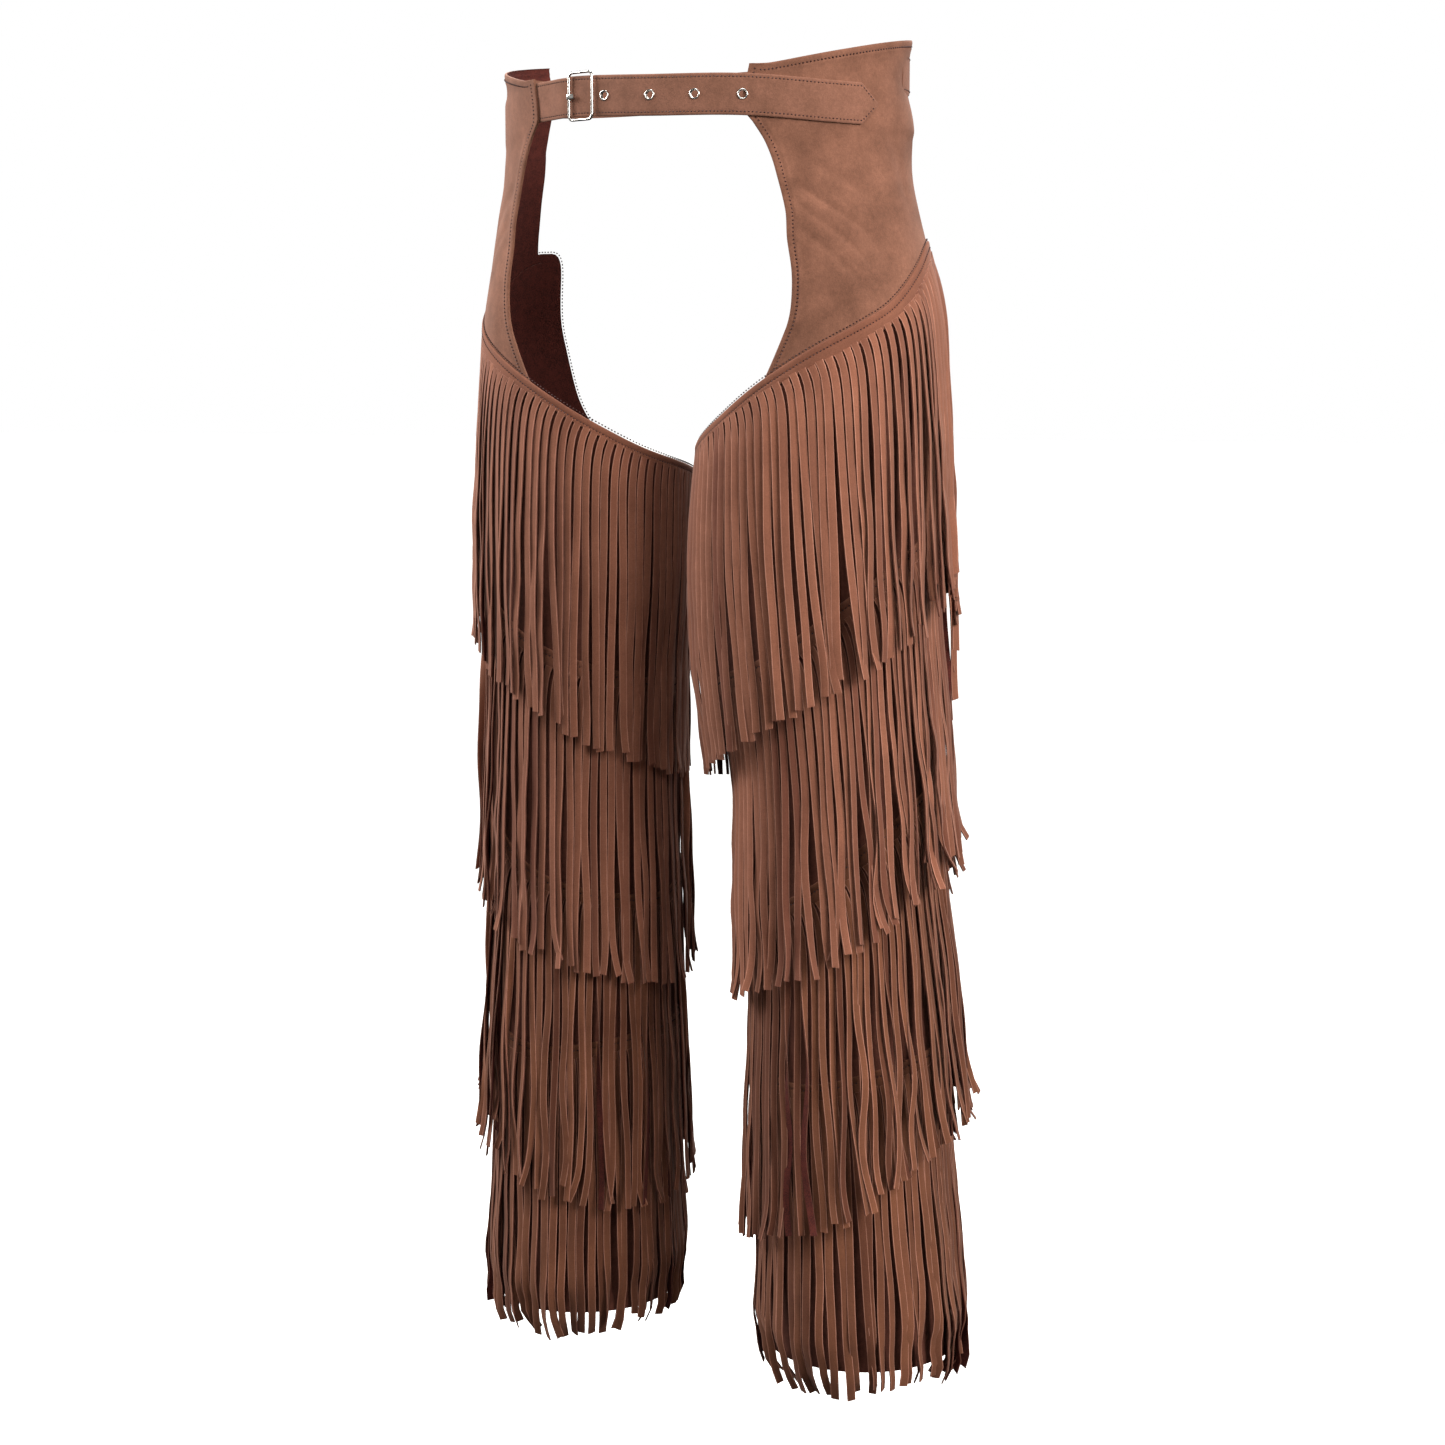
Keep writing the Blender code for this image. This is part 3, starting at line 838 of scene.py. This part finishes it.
def angle_at(places, travelled):
    """The angle that is this far along the line."""
    low, high = 0, len(places) - 1
    while high - low > 1:
        middle = (low + high) // 2
        if places[middle][0] <= travelled:
            low = middle
        else:
            high = middle
    (s0, a0), (s1, a1) = places[low], places[high]
    return a0 + (a1 - a0) * (travelled - s0) / (s1 - s0)


def line_frame(line, side, angle):
    """Height of the line here, metres in a degree, and the line's slope as sine and cosine."""
    height = around(line, angle)
    degree = frame_at(side, angle, height, 0.0)[3]
    rise = around(line, angle + 1) - around(line, angle - 1)
    slope = math.atan2(rise, 2 * degree)
    return height, degree, math.sin(slope), math.cos(slope)


def below_line(side, line, angle, down, out):
    """A point this far down from the line, at right angles to it, and this far out."""
    height, degree, sine, cosine = line_frame(line, side, angle)
    return surface(side, angle + down * sine / degree, height - down * cosine, out)


# How far the tips of each tier swing round the leg, towards the outer side: angle, distance
DRIFT = {
    (1, 0): (
        (-180, 0.0), (-60, 0.0), (-20, 2 * MM), (20, 4 * MM), (55, 1 * MM), (90, -3 * MM),
        (180, 0.0),
    ),
    (-1, 0): ((-180, 0.0), (-90, -3 * MM), (0, -5 * MM), (90, -2 * MM), (180, 0.0)),
}
NO_DRIFT = ((-180, 0.0), (180, 0.0))

# Where the band slopes, each strand turns its face back before the outer side and forwards
# after it: the angles between which that changes
LOUVRE_TURNS = {1: (77, 91), -1: (25, 60)}

# Round the outer side more strands lie under the others, closer to the leg: between which angles
UNDER_STRANDS = {1: (74, 132), -1: (15, 76)}

# Tier by tier: distance from strand to strand along the band, the gap that a slit opens to,
# how far strands hang over one another, how much their tones vary (the wider spread of the
# lower tiers is painted shade for strands that hang in shadow), sideways wave, uneven ends,
# curl of the ends, share of strands turned over, twist in degrees, twist of the ends, and how
# far the ends tuck in under the hem
RESTLESS = (
    {
        "pitch": 7.1 * MM, "gap": 0.8 * MM, "layer": 2.4 * MM, "shades": 0.18,
        "wave": 1.0 * MM, "uneven": 3.4 * MM, "curl": 1.2 * MM, "turned": 0.0,
        "twist": 9, "end_twist": 12, "tuck": 0.0,
    },
    {
        "pitch": 6.8 * MM, "gap": 1.2 * MM, "layer": 3.6 * MM, "shades": 0.26,
        "wave": 1.7 * MM, "uneven": 4.0 * MM, "curl": 3.0 * MM, "turned": 0.05,
        "twist": 13, "end_twist": 20, "tuck": 0.0,
    },
    {
        "pitch": 6.2 * MM, "gap": 0.9 * MM, "layer": 5.0 * MM, "shades": 0.32,
        "wave": 2.2 * MM, "uneven": 4.5 * MM, "curl": 3.5 * MM, "turned": 0.07,
        "twist": 15, "end_twist": 22, "tuck": 0.0,
    },
    {
        "pitch": 6.8 * MM, "gap": 0.5 * MM, "layer": 2.2 * MM, "shades": 0.28,
        "wave": 0.9 * MM, "uneven": 3.5 * MM, "curl": 1.6 * MM, "turned": 0.0,
        "twist": 13, "end_twist": 32, "tuck": 17 * MM,
    },
)

# Strands are most restless in the middle of the outer side, and keep this share of it inside
OUTER_MIDDLE = 80
INNER_UNREST = 0.75

# This share of the strands is clearly shorter or longer than the rest, by so many millimetres
ODD_STRANDS = 0.06
ODD_LENGTHS = (-9, 4)

# The top tier's strands are wider at the outer side and a little narrower at the inner one
OUTER_WIDER = 0.16
INNER_NARROWER = 0.45 * MM

# The lowest tier's grow longer towards the outer side: from which angle, over how many degrees
LONGER_FROM = 45
LONGER_OVER = 45
LONGER_BY = 17 * MM

# Behind the outer side they hang closer to the leg, and the top tier's are shorter, so that none
# stands out past the outline: angle, spread, and the share or length that is taken off
CLOSER_BEHIND = (120, 18, 0.35)
SHORTER_BEHIND = (135, 11, 60 * MM)

# Strands that lie under the others: share of their distance, and how much shorter, in millimetres
UNDER_SHARE = 0.4
UNDER_SHORTER = (2, 12)

# Over what length a strand turns from square to the band to hanging, how far its root lies
# inside the band, how close it comes to the leg, and from which share of it on its end curls
TURN_LENGTH = 13 * MM
ROOT_INSIDE = 1.2 * MM
CLEAR_OF_LEG = 0.4 * MM
CURL_FROM = 0.86

# Slits open wider under a sloping band: by what share, how far down the strand, over how much
ROOT_NARROWER = 0.22
ROOT_PLACE = 9 * MM
ROOT_SPREAD = 7 * MM

# Finish of a strand's sides, in the order of its corners: 0 face, 1 reverse, 2 pale cut edge
# with a painted highlight, 3 the sides that face into a slit, drawn dark as painted shade
STRAND_FINISH = (3, 2, 0, 0, 2, 3, 1, 1)


def strand_section(width):
    """Corners of a strand, across and out: flat back, softly crowned front."""
    half = width / 2
    t = STRAND_CLOTH
    return (
        (-half, 0.0), (-half, 0.82 * t), (-half + 0.5 * t, t), (0.0, 1.08 * t),
        (half - 0.5 * t, t), (half, 0.82 * t), (half, 0.0), (0.0, 0.0),
    )


def build_strand(side, tier, line, angle, rng, points, faces, finish, shades, under=False):
    """One strand: it leaves the band square to it, turns to hang and sways to its end."""
    habit = RESTLESS[tier]
    height, degree, sine, cosine = line_frame(line, side, angle)
    outer = smooth((math.cos(math.radians(angle - OUTER_MIDDLE)) + 0.4) / 1.2)
    unrest = INNER_UNREST + (1 - INNER_UNREST) * outer
    start = slit_start(tier, angle) - ROOT_INSIDE + rng.uniform(-0.6, 1.4) * MM
    hang = FRINGE_TIERS[tier]["length"] - start + rng.gauss(0, 0.5) * habit["uneven"]
    hang += rng.uniform(-0.5, 0.5) * MM
    if rng.random() < ODD_STRANDS:
        hang += rng.uniform(*ODD_LENGTHS) * MM
    if tier == len(FRINGE_TIERS) - 1:
        hang += LONGER_BY * smooth((wrapped(angle) - LONGER_FROM) / LONGER_OVER)
    width = (habit["pitch"] - habit["gap"]) * rng.uniform(0.93, 1.03)
    if tier == 0:
        first, last = UNDER_STRANDS[side]
        past = abs(wrapped(angle) - (first + last) / 2) / (last - first)
        width *= 1 + OUTER_WIDER * smooth(2.2 - 3 * past)
        width -= INNER_NARROWER * (1 - outer)
    end_twist = math.radians(rng.gauss(0, 1) * habit["end_twist"])
    tuck = habit["tuck"] * rng.uniform(0.6, 1.3)
    wave = habit["wave"] * unrest * rng.uniform(0.3, 1.3)
    wave_length = rng.uniform(0.10, 0.24)
    wave_start = rng.uniform(0, 2 * math.pi)
    ripple = rng.uniform(0.2, 1.1) * MM * unrest
    ripple_length = rng.uniform(0.05, 0.12)
    ripple_start = rng.uniform(0, 2 * math.pi)
    layer = rng.uniform(0.0, habit["layer"]) * unrest
    twist = math.radians(rng.gauss(0, 1) * habit["twist"] * unrest)
    lean = rng.gauss(0, 1) * 0.012 * unrest
    curl = rng.gauss(0, 1) * habit["curl"] * unrest
    end_curl = rng.gauss(0, 0.9) * habit["curl"] * unrest
    slant = rng.uniform(-0.22, 0.22)
    if rng.random() < habit["turned"]:
        twist += math.copysign(math.radians(rng.uniform(140, 175)), twist)
    drift = around(DRIFT.get((side, tier), NO_DRIFT), angle)
    louvre = math.asin(max(-0.8, min(0.8, sine))) * 0.6
    if sine > 0:
        first, last = LOUVRE_TURNS[side]
        louvre *= 1 - 1.5 * smooth((wrapped(angle) - first) / (last - first))
    # The strand's tone: partly random, partly painted shade that draws it darker and redder
    shade = min(max(rng.gauss(0.55, habit["shades"]), 0.0), 1.0)
    middle, spread, closer = CLOSER_BEHIND
    off = STAND_OFF_SHARE[side] * (1 - closer * bell(wrapped(angle) - middle, spread))
    if tier == 0:
        middle, spread, shorter = SHORTER_BEHIND
        hang -= shorter * bell(wrapped(angle) - middle, spread)
        off += THIGH_STAND_OFF[side] * at_inner_thigh(side, angle)
    if under:
        off *= UNDER_SHARE
        layer = 0.0
        louvre = 0.0
        hang -= rng.uniform(*UNDER_SHORTER) * MM

    path = []
    for row in range(STRAND_ROWS + 1):
        share = (row / STRAND_ROWS) ** 1.15
        s = hang * share
        loose = smooth(share * 1.3)
        still_square = math.exp(-s / TURN_LENGTH)
        sway = TURN_LENGTH * sine * (1 - still_square)
        dropped = s * (1 - (1 - cosine) * still_square)
        sway += drift * share**1.4 + lean * s * loose
        swing = math.sin(2 * math.pi * s / wave_length + wave_start) - math.sin(wave_start)
        sway += wave * loose * swing
        end = max((share - CURL_FROM) / (1 - CURL_FROM), 0.0)
        sway += end_curl * end * end
        rippled = ripple * math.sin(2 * math.pi * s / ripple_length + ripple_start)
        out = hermite(FRINGE_TIERS[tier]["stand_off"], share)[0] * off
        out += 0.5 * MM + (layer + rippled) * loose
        out = max(out + abs(curl) * end * end, CLEAR_OF_LEG)
        down = start * cosine + dropped
        if tuck:
            out = max(out - tuck * smooth((share - 0.8) / 0.12) * 0.4, CLEAR_OF_LEG)
            out -= tuck * smooth((HEM_HEIGHT + 2 * MM - height + down) / (34 * MM))
        at_angle = angle + (start * sine + sway) / degree
        point, _, away, _ = frame_at(side, at_angle, height - down, out)
        path.append((point, away, s, loose))

    base = len(points)
    for row, (point, away, s, loose) in enumerate(path):
        before = path[max(row - 1, 0)][0]
        after = path[min(row + 1, STRAND_ROWS)][0]
        tangent = (after - before).normalized()
        across = away.cross(tangent).normalized()
        normal = tangent.cross(across).normalized()
        turned = side * -louvre * (1 - math.exp(-s / (1.6 * TURN_LENGTH))) + twist * loose
        turned += end_twist * smooth((s / hang - 0.72) / 0.25)
        cos_turn, sin_turn = math.cos(turned), math.sin(turned)
        wide = across * cos_turn + normal * sin_turn
        thick = normal * cos_turn - across * sin_turn
        lift = abs(sin_turn) * width * 0.5
        narrower = ROOT_NARROWER * max(sine, 0.0) * bell(s - ROOT_PLACE, ROOT_SPREAD)
        for w, d in strand_section(width * (1 - narrower)):
            cut = tangent * (slant * w) if row == STRAND_ROWS else Vector()
            points.append(point + wide * w + thick * d + away * lift + cut)
            shades.append(shade)
    faces.extend(tube_faces(base, STRAND_ROWS + 1, len(STRAND_FINISH)))
    finish.extend(STRAND_FINISH * STRAND_ROWS + (2, 2))


def build_fringe(word, side, tier):
    """One tier: the band round the leg and every strand that its slits leave."""
    line = TIER_LINES[tier]
    places = line_places(line, side, 1 * MM)
    total = places[-1][0]
    points = []
    faces = []
    finish = []
    for k in range(BAND_COLUMNS):
        angle = angle_at(places, total * k / BAND_COLUMNS)
        shorter = (slit_start(tier, angle) - WELT) / (SLIT_START - WELT)
        for down, out in BAND_PROFILE:
            drop = down * MM
            if drop > WELT:
                drop = WELT + (drop - WELT) * shorter
            points.append(below_line(side, line, angle, drop, out * MM))
    across = len(BAND_PROFILE)
    for k in range(BAND_COLUMNS):
        after = (k + 1) % BAND_COLUMNS
        for j in range(across):
            j2 = (j + 1) % across
            quad = (k * across + j, k * across + j2, after * across + j2, after * across + j)
            faces.append(quad if side > 0 else quad[::-1])
            finish.append(1 if j == across - 1 else 0)
    shades = [0.5] * len(points)
    rng = random.Random(f"{word} {tier}")
    count = round(total / RESTLESS[tier]["pitch"])
    first, last = UNDER_STRANDS[side]
    for k in range(count):
        travelled = total * (k + 0.5 + rng.uniform(-0.06, 0.06)) / count
        angle = angle_at(places, travelled)
        build_strand(side, tier, line, angle, rng, points, faces, finish, shades)
        angle = angle_at(places, total * (k + 1) / count)
        if first < wrapped(angle) < last:
            build_strand(side, tier, line, angle, rng, points, faces, finish, shades, under=True)
    # The lower two tiers take the suede with painted shade of the light's fall-off
    suede = FRINGE_SUEDE if tier < 2 else SHADED_LOW_FRINGE_SUEDE
    made = piece(
        f"fringe_{word}_{tier + 1}_cloth", points, faces,
        [suede, REVERSE, CUT_EDGE_HIGHLIGHT, SLIT_SIDE_SHADE],
        [f"fringe_{word}_{tier + 1}"], finish,
    )
    attribute = made.data.attributes.new("shade", "FLOAT", "POINT")
    attribute.data.foreach_set("value", shades)
    paths = []
    for down, out in BAND_STITCHES[1 if tier else 0 :]:
        path = []
        for travelled in steps(0, total, 360):
            angle = angle_at(places, travelled)
            point = below_line(side, line, angle, down, out)
            path.append((point, frame_at(side, angle, point.z, out)[2]))
        paths.append(path)
    thread = stitches(
        f"fringe_{word}_{tier + 1}_stitches", paths, TIER_THREAD
    )


# Belt and straps

# Rows of a strap from its top edge to its bottom edge, as shares of its width
STRAP_ROWS = (
    -0.5, -0.49, -0.47, -0.44, -0.415, -0.39, -0.36, -0.3, -0.15, 0.0,
    0.15, 0.3, 0.36, 0.39, 0.415, 0.44, 0.47, 0.49, 0.5,
)
BELT_STITCH_INSET = 2.5 * MM


def strap_relief(from_edge):
    """A doubled strap: edges rolled in, and a groove where it is stitched."""
    groove = 0.22 * MM * bell(from_edge - BELT_STITCH_INSET, 0.8 * MM)
    rounded = 0.7 * MM * math.exp(-from_edge / (0.6 * MM))
    return -groove - rounded


def strap_cloth(name, node, angles, width, line, out):
    """The cloth of a strap along its middle line, its width and its distance by angle."""
    front = []
    back = []
    for share in STRAP_ROWS:
        for angle in angles:
            wide = width(angle)
            height = line(angle) - share * wide
            relief = strap_relief((0.5 - abs(share)) * wide)
            front.append(surface(1, angle, height, out(angle) + BELT_CLOTH + relief))
            back.append(surface(1, angle, height, out(angle)))
    faces = grid_faces(len(angles), len(STRAP_ROWS), False, 1)
    points, faces, _ = slab(front, back, faces)
    return piece(name, points, faces, [BELT_SUEDE], [node])


def edge_path(angles, height, out):
    path = []
    for angle in angles:
        point, _, away, _ = frame_at(1, angle, height(angle), out(angle))
        path.append((point, away))
    return path


def belt_width(angle):
    point = (angle - BELT_SHOULDER_ANGLE) / (BELT_TIP_ANGLE - BELT_SHOULDER_ANGLE)
    return BELT_WIDTH + (BELT_TIP_WIDTH - BELT_WIDTH) * max(point, 0.0)


def cut_eyelet_holes(belt):
    """Holes right through the belt, each cut by a rod that is then taken away."""
    for angle in EYELET_ANGLES:
        point, _, away, _ = frame_at(1, angle, belt_height(angle), SEAM_GAP)
        bpy.ops.mesh.primitive_cylinder_add(
            vertices=32, radius=EYELET_HOLE, depth=12 * MM, location=point
        )
        cutter = bpy.context.object
        cutter.rotation_mode = "QUATERNION"
        cutter.rotation_quaternion = away.to_track_quat("Z", "Y")
        hole = belt.modifiers.new("Eyelet hole", "BOOLEAN")
        hole.operation = "DIFFERENCE"
        hole.solver = "EXACT"
        hole.object = cutter
        bpy.context.view_layer.update()
        with_hole = belt.evaluated_get(bpy.context.evaluated_depsgraph_get())
        cut = bpy.data.meshes.new_from_object(with_hole)
        belt.modifiers.clear()
        belt.data = cut
        bpy.data.objects.remove(cutter, do_unlink=True)


def build_belt():
    angles = steps(BELT_END_ANGLE, BELT_SHOULDER_ANGLE, 150)
    angles += steps(BELT_SHOULDER_ANGLE, BELT_TIP_ANGLE, 16)[1:]
    belt = strap_cloth(
        "belt_cloth", "belt_strap", angles, belt_width, belt_height, lambda a: SEAM_GAP
    )
    cut_eyelet_holes(belt)
    lift = SEAM_GAP + BELT_CLOTH - THREAD_SUNK
    paths = []
    for sign in (1, -1):
        straight = edge_path(
            steps(BELT_END_ANGLE + 1, BELT_SHOULDER_ANGLE, 160),
            lambda a: belt_height(a) + sign * (BELT_WIDTH / 2 - BELT_STITCH_INSET),
            lambda a: lift,
        )
        tip = edge_path(
            steps(BELT_SHOULDER_ANGLE, BELT_TIP_ANGLE - 1.6, 12),
            lambda a: belt_height(a)
            + sign * max(belt_width(a) / 2 - BELT_STITCH_INSET * 0.9, 0.0),
            lambda a: lift,
        )
        paths.append(straight + tip[1:])
    thread = stitches("belt_stitches", paths, STRAP_THREAD)
    length = path_length([surface(1, a, belt_height(a), BELT_CLOTH) for a in angles])


def buckle_strap_out(angle):
    """The buckle strap comes out from inside the panel to lie under the belt."""
    first, last = BUCKLE_STRAP_RISE
    rise = smooth((angle - first) / (last - first))
    return INSIDE_PANEL + (-BELT_CLOTH - INSIDE_PANEL) * rise


def back_strap_height(angle):
    reach = 180 - BACK_STRAP_END_ANGLE
    return BACK_STRAP_END_HEIGHT + BACK_STRAP_RISE * smooth(1 - abs(angle - 180) / reach)


def build_strap(name, ends, count, width, line, out):
    """A strap sewn inside the panels, of one width, with a row of stitches along each edge."""
    first, last = ends
    angles = steps(first, last, count)
    strap = strap_cloth(f"{name}_cloth", name, angles, lambda a: width, line, out)
    paths = []
    for sign in (1, -1):
        paths.append(edge_path(
            steps(first + 1, last - 1, count),
            lambda a: line(a) + sign * (width / 2 - BELT_STITCH_INSET),
            lambda a: out(a) + BELT_CLOTH - THREAD_SUNK,
        ))
    thread = stitches(f"{name}_stitches", paths, STRAP_THREAD)
    length = path_length([surface(1, a, line(a), out(a)) for a in angles])


# Metal

# Eyelet: rolled flange over the belt, barrel through it: radius, height over the belt's back
EYELET_PROFILE = (
    (3.9, 2.05), (3.9, 2.3), (3.8, 2.55), (3.55, 2.75), (3.3, 2.8), (3.0, 2.75), (2.8, 2.55),
    (2.65, 2.25), (2.6, 1.8), (2.6, 0.25), (2.8, 0.2), (2.95, 0.25), (2.95, 1.95), (3.4, 2.0),
)
EYELET_TURNS = 48


def build_eyelets():
    """Each eyelet is turned from its profile, square to the belt."""
    for number, angle in enumerate(EYELET_ANGLES, start=1):
        point, along, away, _ = frame_at(1, angle, belt_height(angle), SEAM_GAP)
        across = along.cross(away)
        points = []
        for k in range(EYELET_TURNS):
            turn = 2 * math.pi * k / EYELET_TURNS
            spoke = along * math.cos(turn) + across * math.sin(turn)
            points += [point + spoke * (r * MM) + away * (h * MM) for r, h in EYELET_PROFILE]
        faces = hoop_faces(EYELET_TURNS, len(EYELET_PROFILE))
        piece(
            f"eyelet_{number}_ring", points, faces, [NICKEL],
            [f"eyelet_{number}"],
        )


WIRE_SIDES = 16

# The prong's root, a strip rolled round the heel bar: metal, the gap round the bar, width, the
# share of it at the front end, and how much its rim is rounded
PRONG_METAL = 0.7 * MM
PRONG_GAP = 0.3 * MM
PRONG_WIDTH = 3.6 * MM
PRONG_TAPER = 0.82
PRONG_RIM = 0.12 * MM
PRONG_COLUMNS = (-0.5, -0.42, 0.42, 0.5)


def build_buckle():
    """The wire frame with its round corners, and the root of the prong on its heel bar."""
    lift = BELT_CLOTH + 3 * SEAM_GAP + BUCKLE_WIRE
    middle, along, away, _ = frame_at(1, BUCKLE_ANGLE, belt_height(BUCKLE_ANGLE), lift)
    upward = Vector((0, 0, 1))
    half_length = BUCKLE_LENGTH / 2 - BUCKLE_CORNER
    half_height = BUCKLE_HEIGHT / 2 - BUCKLE_CORNER
    points = []
    for sign_along, sign_up, start in ((1, 1, 0), (-1, 1, 90), (-1, -1, 180), (1, -1, 270)):
        for turned in steps(start, start + 90, 8):
            turn = math.radians(turned)
            u = sign_along * half_length + BUCKLE_CORNER * math.cos(turn)
            v = sign_up * half_height + BUCKLE_CORNER * math.sin(turn)
            centre = middle + along * u + upward * v
            outward = along * math.cos(turn) + upward * math.sin(turn)
            points.extend(ring(centre, outward, away, BUCKLE_WIRE, WIRE_SIDES))
    faces = hoop_faces(len(points) // WIRE_SIDES, WIRE_SIDES)
    piece("buckle_wire", points, faces, [NICKEL], ["buckle_frame"])

    bar = middle - along * (BUCKLE_LENGTH / 2)
    inner = BUCKLE_WIRE + PRONG_GAP
    outline = [(5.0 * MM, inner / 3), (3.4 * MM, inner * 0.5)]
    for turned in steps(35, 250, 20):
        turn = math.radians(turned)
        outline.append((inner * math.cos(turn), inner * math.sin(turn)))
    normals = []
    for i in range(len(outline)):
        p = outline[max(i - 1, 0)]
        q = outline[min(i + 1, len(outline) - 1)]
        du, dw = q[0] - p[0], q[1] - p[1]
        size = math.hypot(du, dw)
        normals.append((dw / size, -du / size))
    front = []
    back = []
    for share in PRONG_COLUMNS:
        for (u, w), (nu, nw) in zip(outline, normals):
            wide = PRONG_WIDTH * (PRONG_TAPER if u > 4 * MM else 1.0)
            edge = PRONG_RIM if abs(share) == 0.5 else 0.0
            foot = bar + along * u + away * w + upward * (share * wide)
            out = along * nu + away * nw
            front.append(foot + out * (PRONG_METAL - edge))
            back.append(foot + out * edge)
    faces = grid_faces(len(outline), len(PRONG_COLUMNS), False, -1)
    points, faces, _ = slab(front, back, faces)
    piece("buckle_prong_root", points, faces, [NICKEL], ["buckle_prong"])


# Put it together

# Height at which a leg's girth is measured for its flat width
GIRTH_HEIGHT = -0.26

for word, side in SIDES.items():
    leg, leg_area = build_leg(word, side)
    girth = path_length([surface(side, a, GIRTH_HEIGHT) for a in range(0, 361, 4)])
for word, side in SIDES.items():
    panel, width, length, area = build_hip_panel(word, side)
    thread = build_panel_stitches(word, side)
for word, side in SIDES.items():
    for tier in range(len(FRINGE_TIERS)):
        build_fringe(word, side, tier)

build_belt()
build_strap(
    "buckle_strap", BUCKLE_STRAP_ANGLES, 60, BUCKLE_STRAP_WIDTH, belt_height, buckle_strap_out,
)
build_strap(
    "back_strap", (BACK_STRAP_END_ANGLE, 360 - BACK_STRAP_END_ANGLE), 150, BACK_STRAP_WIDTH,
    back_strap_height, lambda a: INSIDE_PANEL,
)
build_eyelets()
build_buckle()


# Studio

# The garment hangs clear of the floor, so that its shadow falls out of the picture
FLOOR_HEIGHT = -1.25
FLOOR_REACH = 60.0

mesh = bpy.data.meshes.new("studio_floor")
corners = ((-1, -1), (1, -1), (1, 1), (-1, 1))
mesh.from_pydata(
    [(x * FLOOR_REACH, y * FLOOR_REACH, FLOOR_HEIGHT) for x, y in corners], [], [(0, 1, 2, 3)]
)
floor = bpy.data.objects.new("studio_floor", mesh)
mesh.materials.append(PAPER)
bpy.context.scene.collection.objects.link(floor)


def softbox(name, place, target, size, energy):
    light = bpy.data.lights.new(name, "AREA")
    light.shape = "SQUARE"
    light.size = size
    light.energy = energy
    made = bpy.data.objects.new(name, light)
    made.location = place
    made.rotation_mode = "QUATERNION"
    made.rotation_quaternion = (Vector(target) - Vector(place)).to_track_quat("-Z", "Y")
    bpy.context.scene.collection.objects.link(made)


# Softboxes on both sides, hung high, so that the light falls off towards the hems
softbox("softbox_left", (-1.75, -0.75, 0.75), (0, 0, -0.20), 1.0, 66)
softbox("softbox_right", (1.90, -0.50, 0.50), (0, 0, -0.20), 1.0, 60)
softbox("softbox_front", (0.60, -1.95, 1.10), (0, 0, -0.10), 0.9, 20)
softbox("softbox_back", (-0.50, 2.00, 0.80), (0, 0, -0.25), 1.4, 26)

overhead = bpy.data.lights.new("overhead_light", "SUN")
overhead.energy = 2.4
overhead.angle = math.radians(25)
overhead_lamp = bpy.data.objects.new("overhead_light", overhead)
overhead_lamp.location = (0, 0, 3)
bpy.context.scene.collection.objects.link(overhead_lamp)

# The floor shows pale but throws no light up under the tiers
floor.visible_diffuse = False
floor.visible_glossy = False

# White where it is the backdrop, behind the garment, dimmer elsewhere and dark below the floor
BACKDROP_HEADING = (-0.5, 0.866, 0.0)

world = bpy.data.worlds.new("studio_white")
world.use_nodes = True
tree = world.node_tree
direction = add_node(tree, "TexCoord").outputs["Generated"]
split = add_node(tree, "SeparateXYZ", {"Vector": direction})
heading = add_node(
    tree, "VectorMath", {0: direction, 1: BACKDROP_HEADING}, operation="DOT_PRODUCT"
)

# Strength upwards, downwards and round the room: between which places, from and to how much
above, below, backdrop = [
    add_node(
        tree, "MapRange",
        {"Value": value, "From Min": low, "From Max": high, "To Min": first, "To Max": last},
        interpolation_type="SMOOTHSTEP",
    ).outputs["Result"]
    for value, low, high, first, last in (
        (split.outputs["Z"], 0.22, 0.34, 1.0, 0.3),
        (split.outputs["Z"], -0.20, -0.06, 0.12, 1.0),
        (heading.outputs["Value"], 0.45, 0.8, 0.45, 1.0),
    )
]
upright = add_node(tree, "Math", {0: above, 1: below}, operation="MULTIPLY")
strength = add_node(tree, "Math", {0: upright.outputs[0], 1: backdrop}, operation="MULTIPLY")
fill(tree, tree.nodes["Background"], {
    "Color": (1.0, 1.0, 1.0, 1.0), "Strength": strength.outputs[0],
})
bpy.context.scene.world = world
bpy.context.scene.view_settings.view_transform = "Standard"

# Camera: 30 degrees round towards the left side, 7 degrees down, level with the thighs. Its
# sensor and lens are in millimetres
CAMERA_PLACE = (0.9966, -1.6994, -0.217)
CAMERA_TURN = math.radians(30.0)
CAMERA_DOWN = math.radians(7.15)

camera_data = bpy.data.cameras.new("camera")
camera_data.sensor_width = 36.0
camera_data.lens = 63.93
camera = bpy.data.objects.new("camera", camera_data)
camera.location = CAMERA_PLACE
camera.rotation_mode = "QUATERNION"
look = Vector((
    -math.sin(CAMERA_TURN) * math.cos(CAMERA_DOWN),
    math.cos(CAMERA_TURN) * math.cos(CAMERA_DOWN),
    -math.sin(CAMERA_DOWN),
))
camera.rotation_quaternion = look.to_track_quat("-Z", "Y")
bpy.context.scene.collection.objects.link(camera)
bpy.context.scene.camera = camera
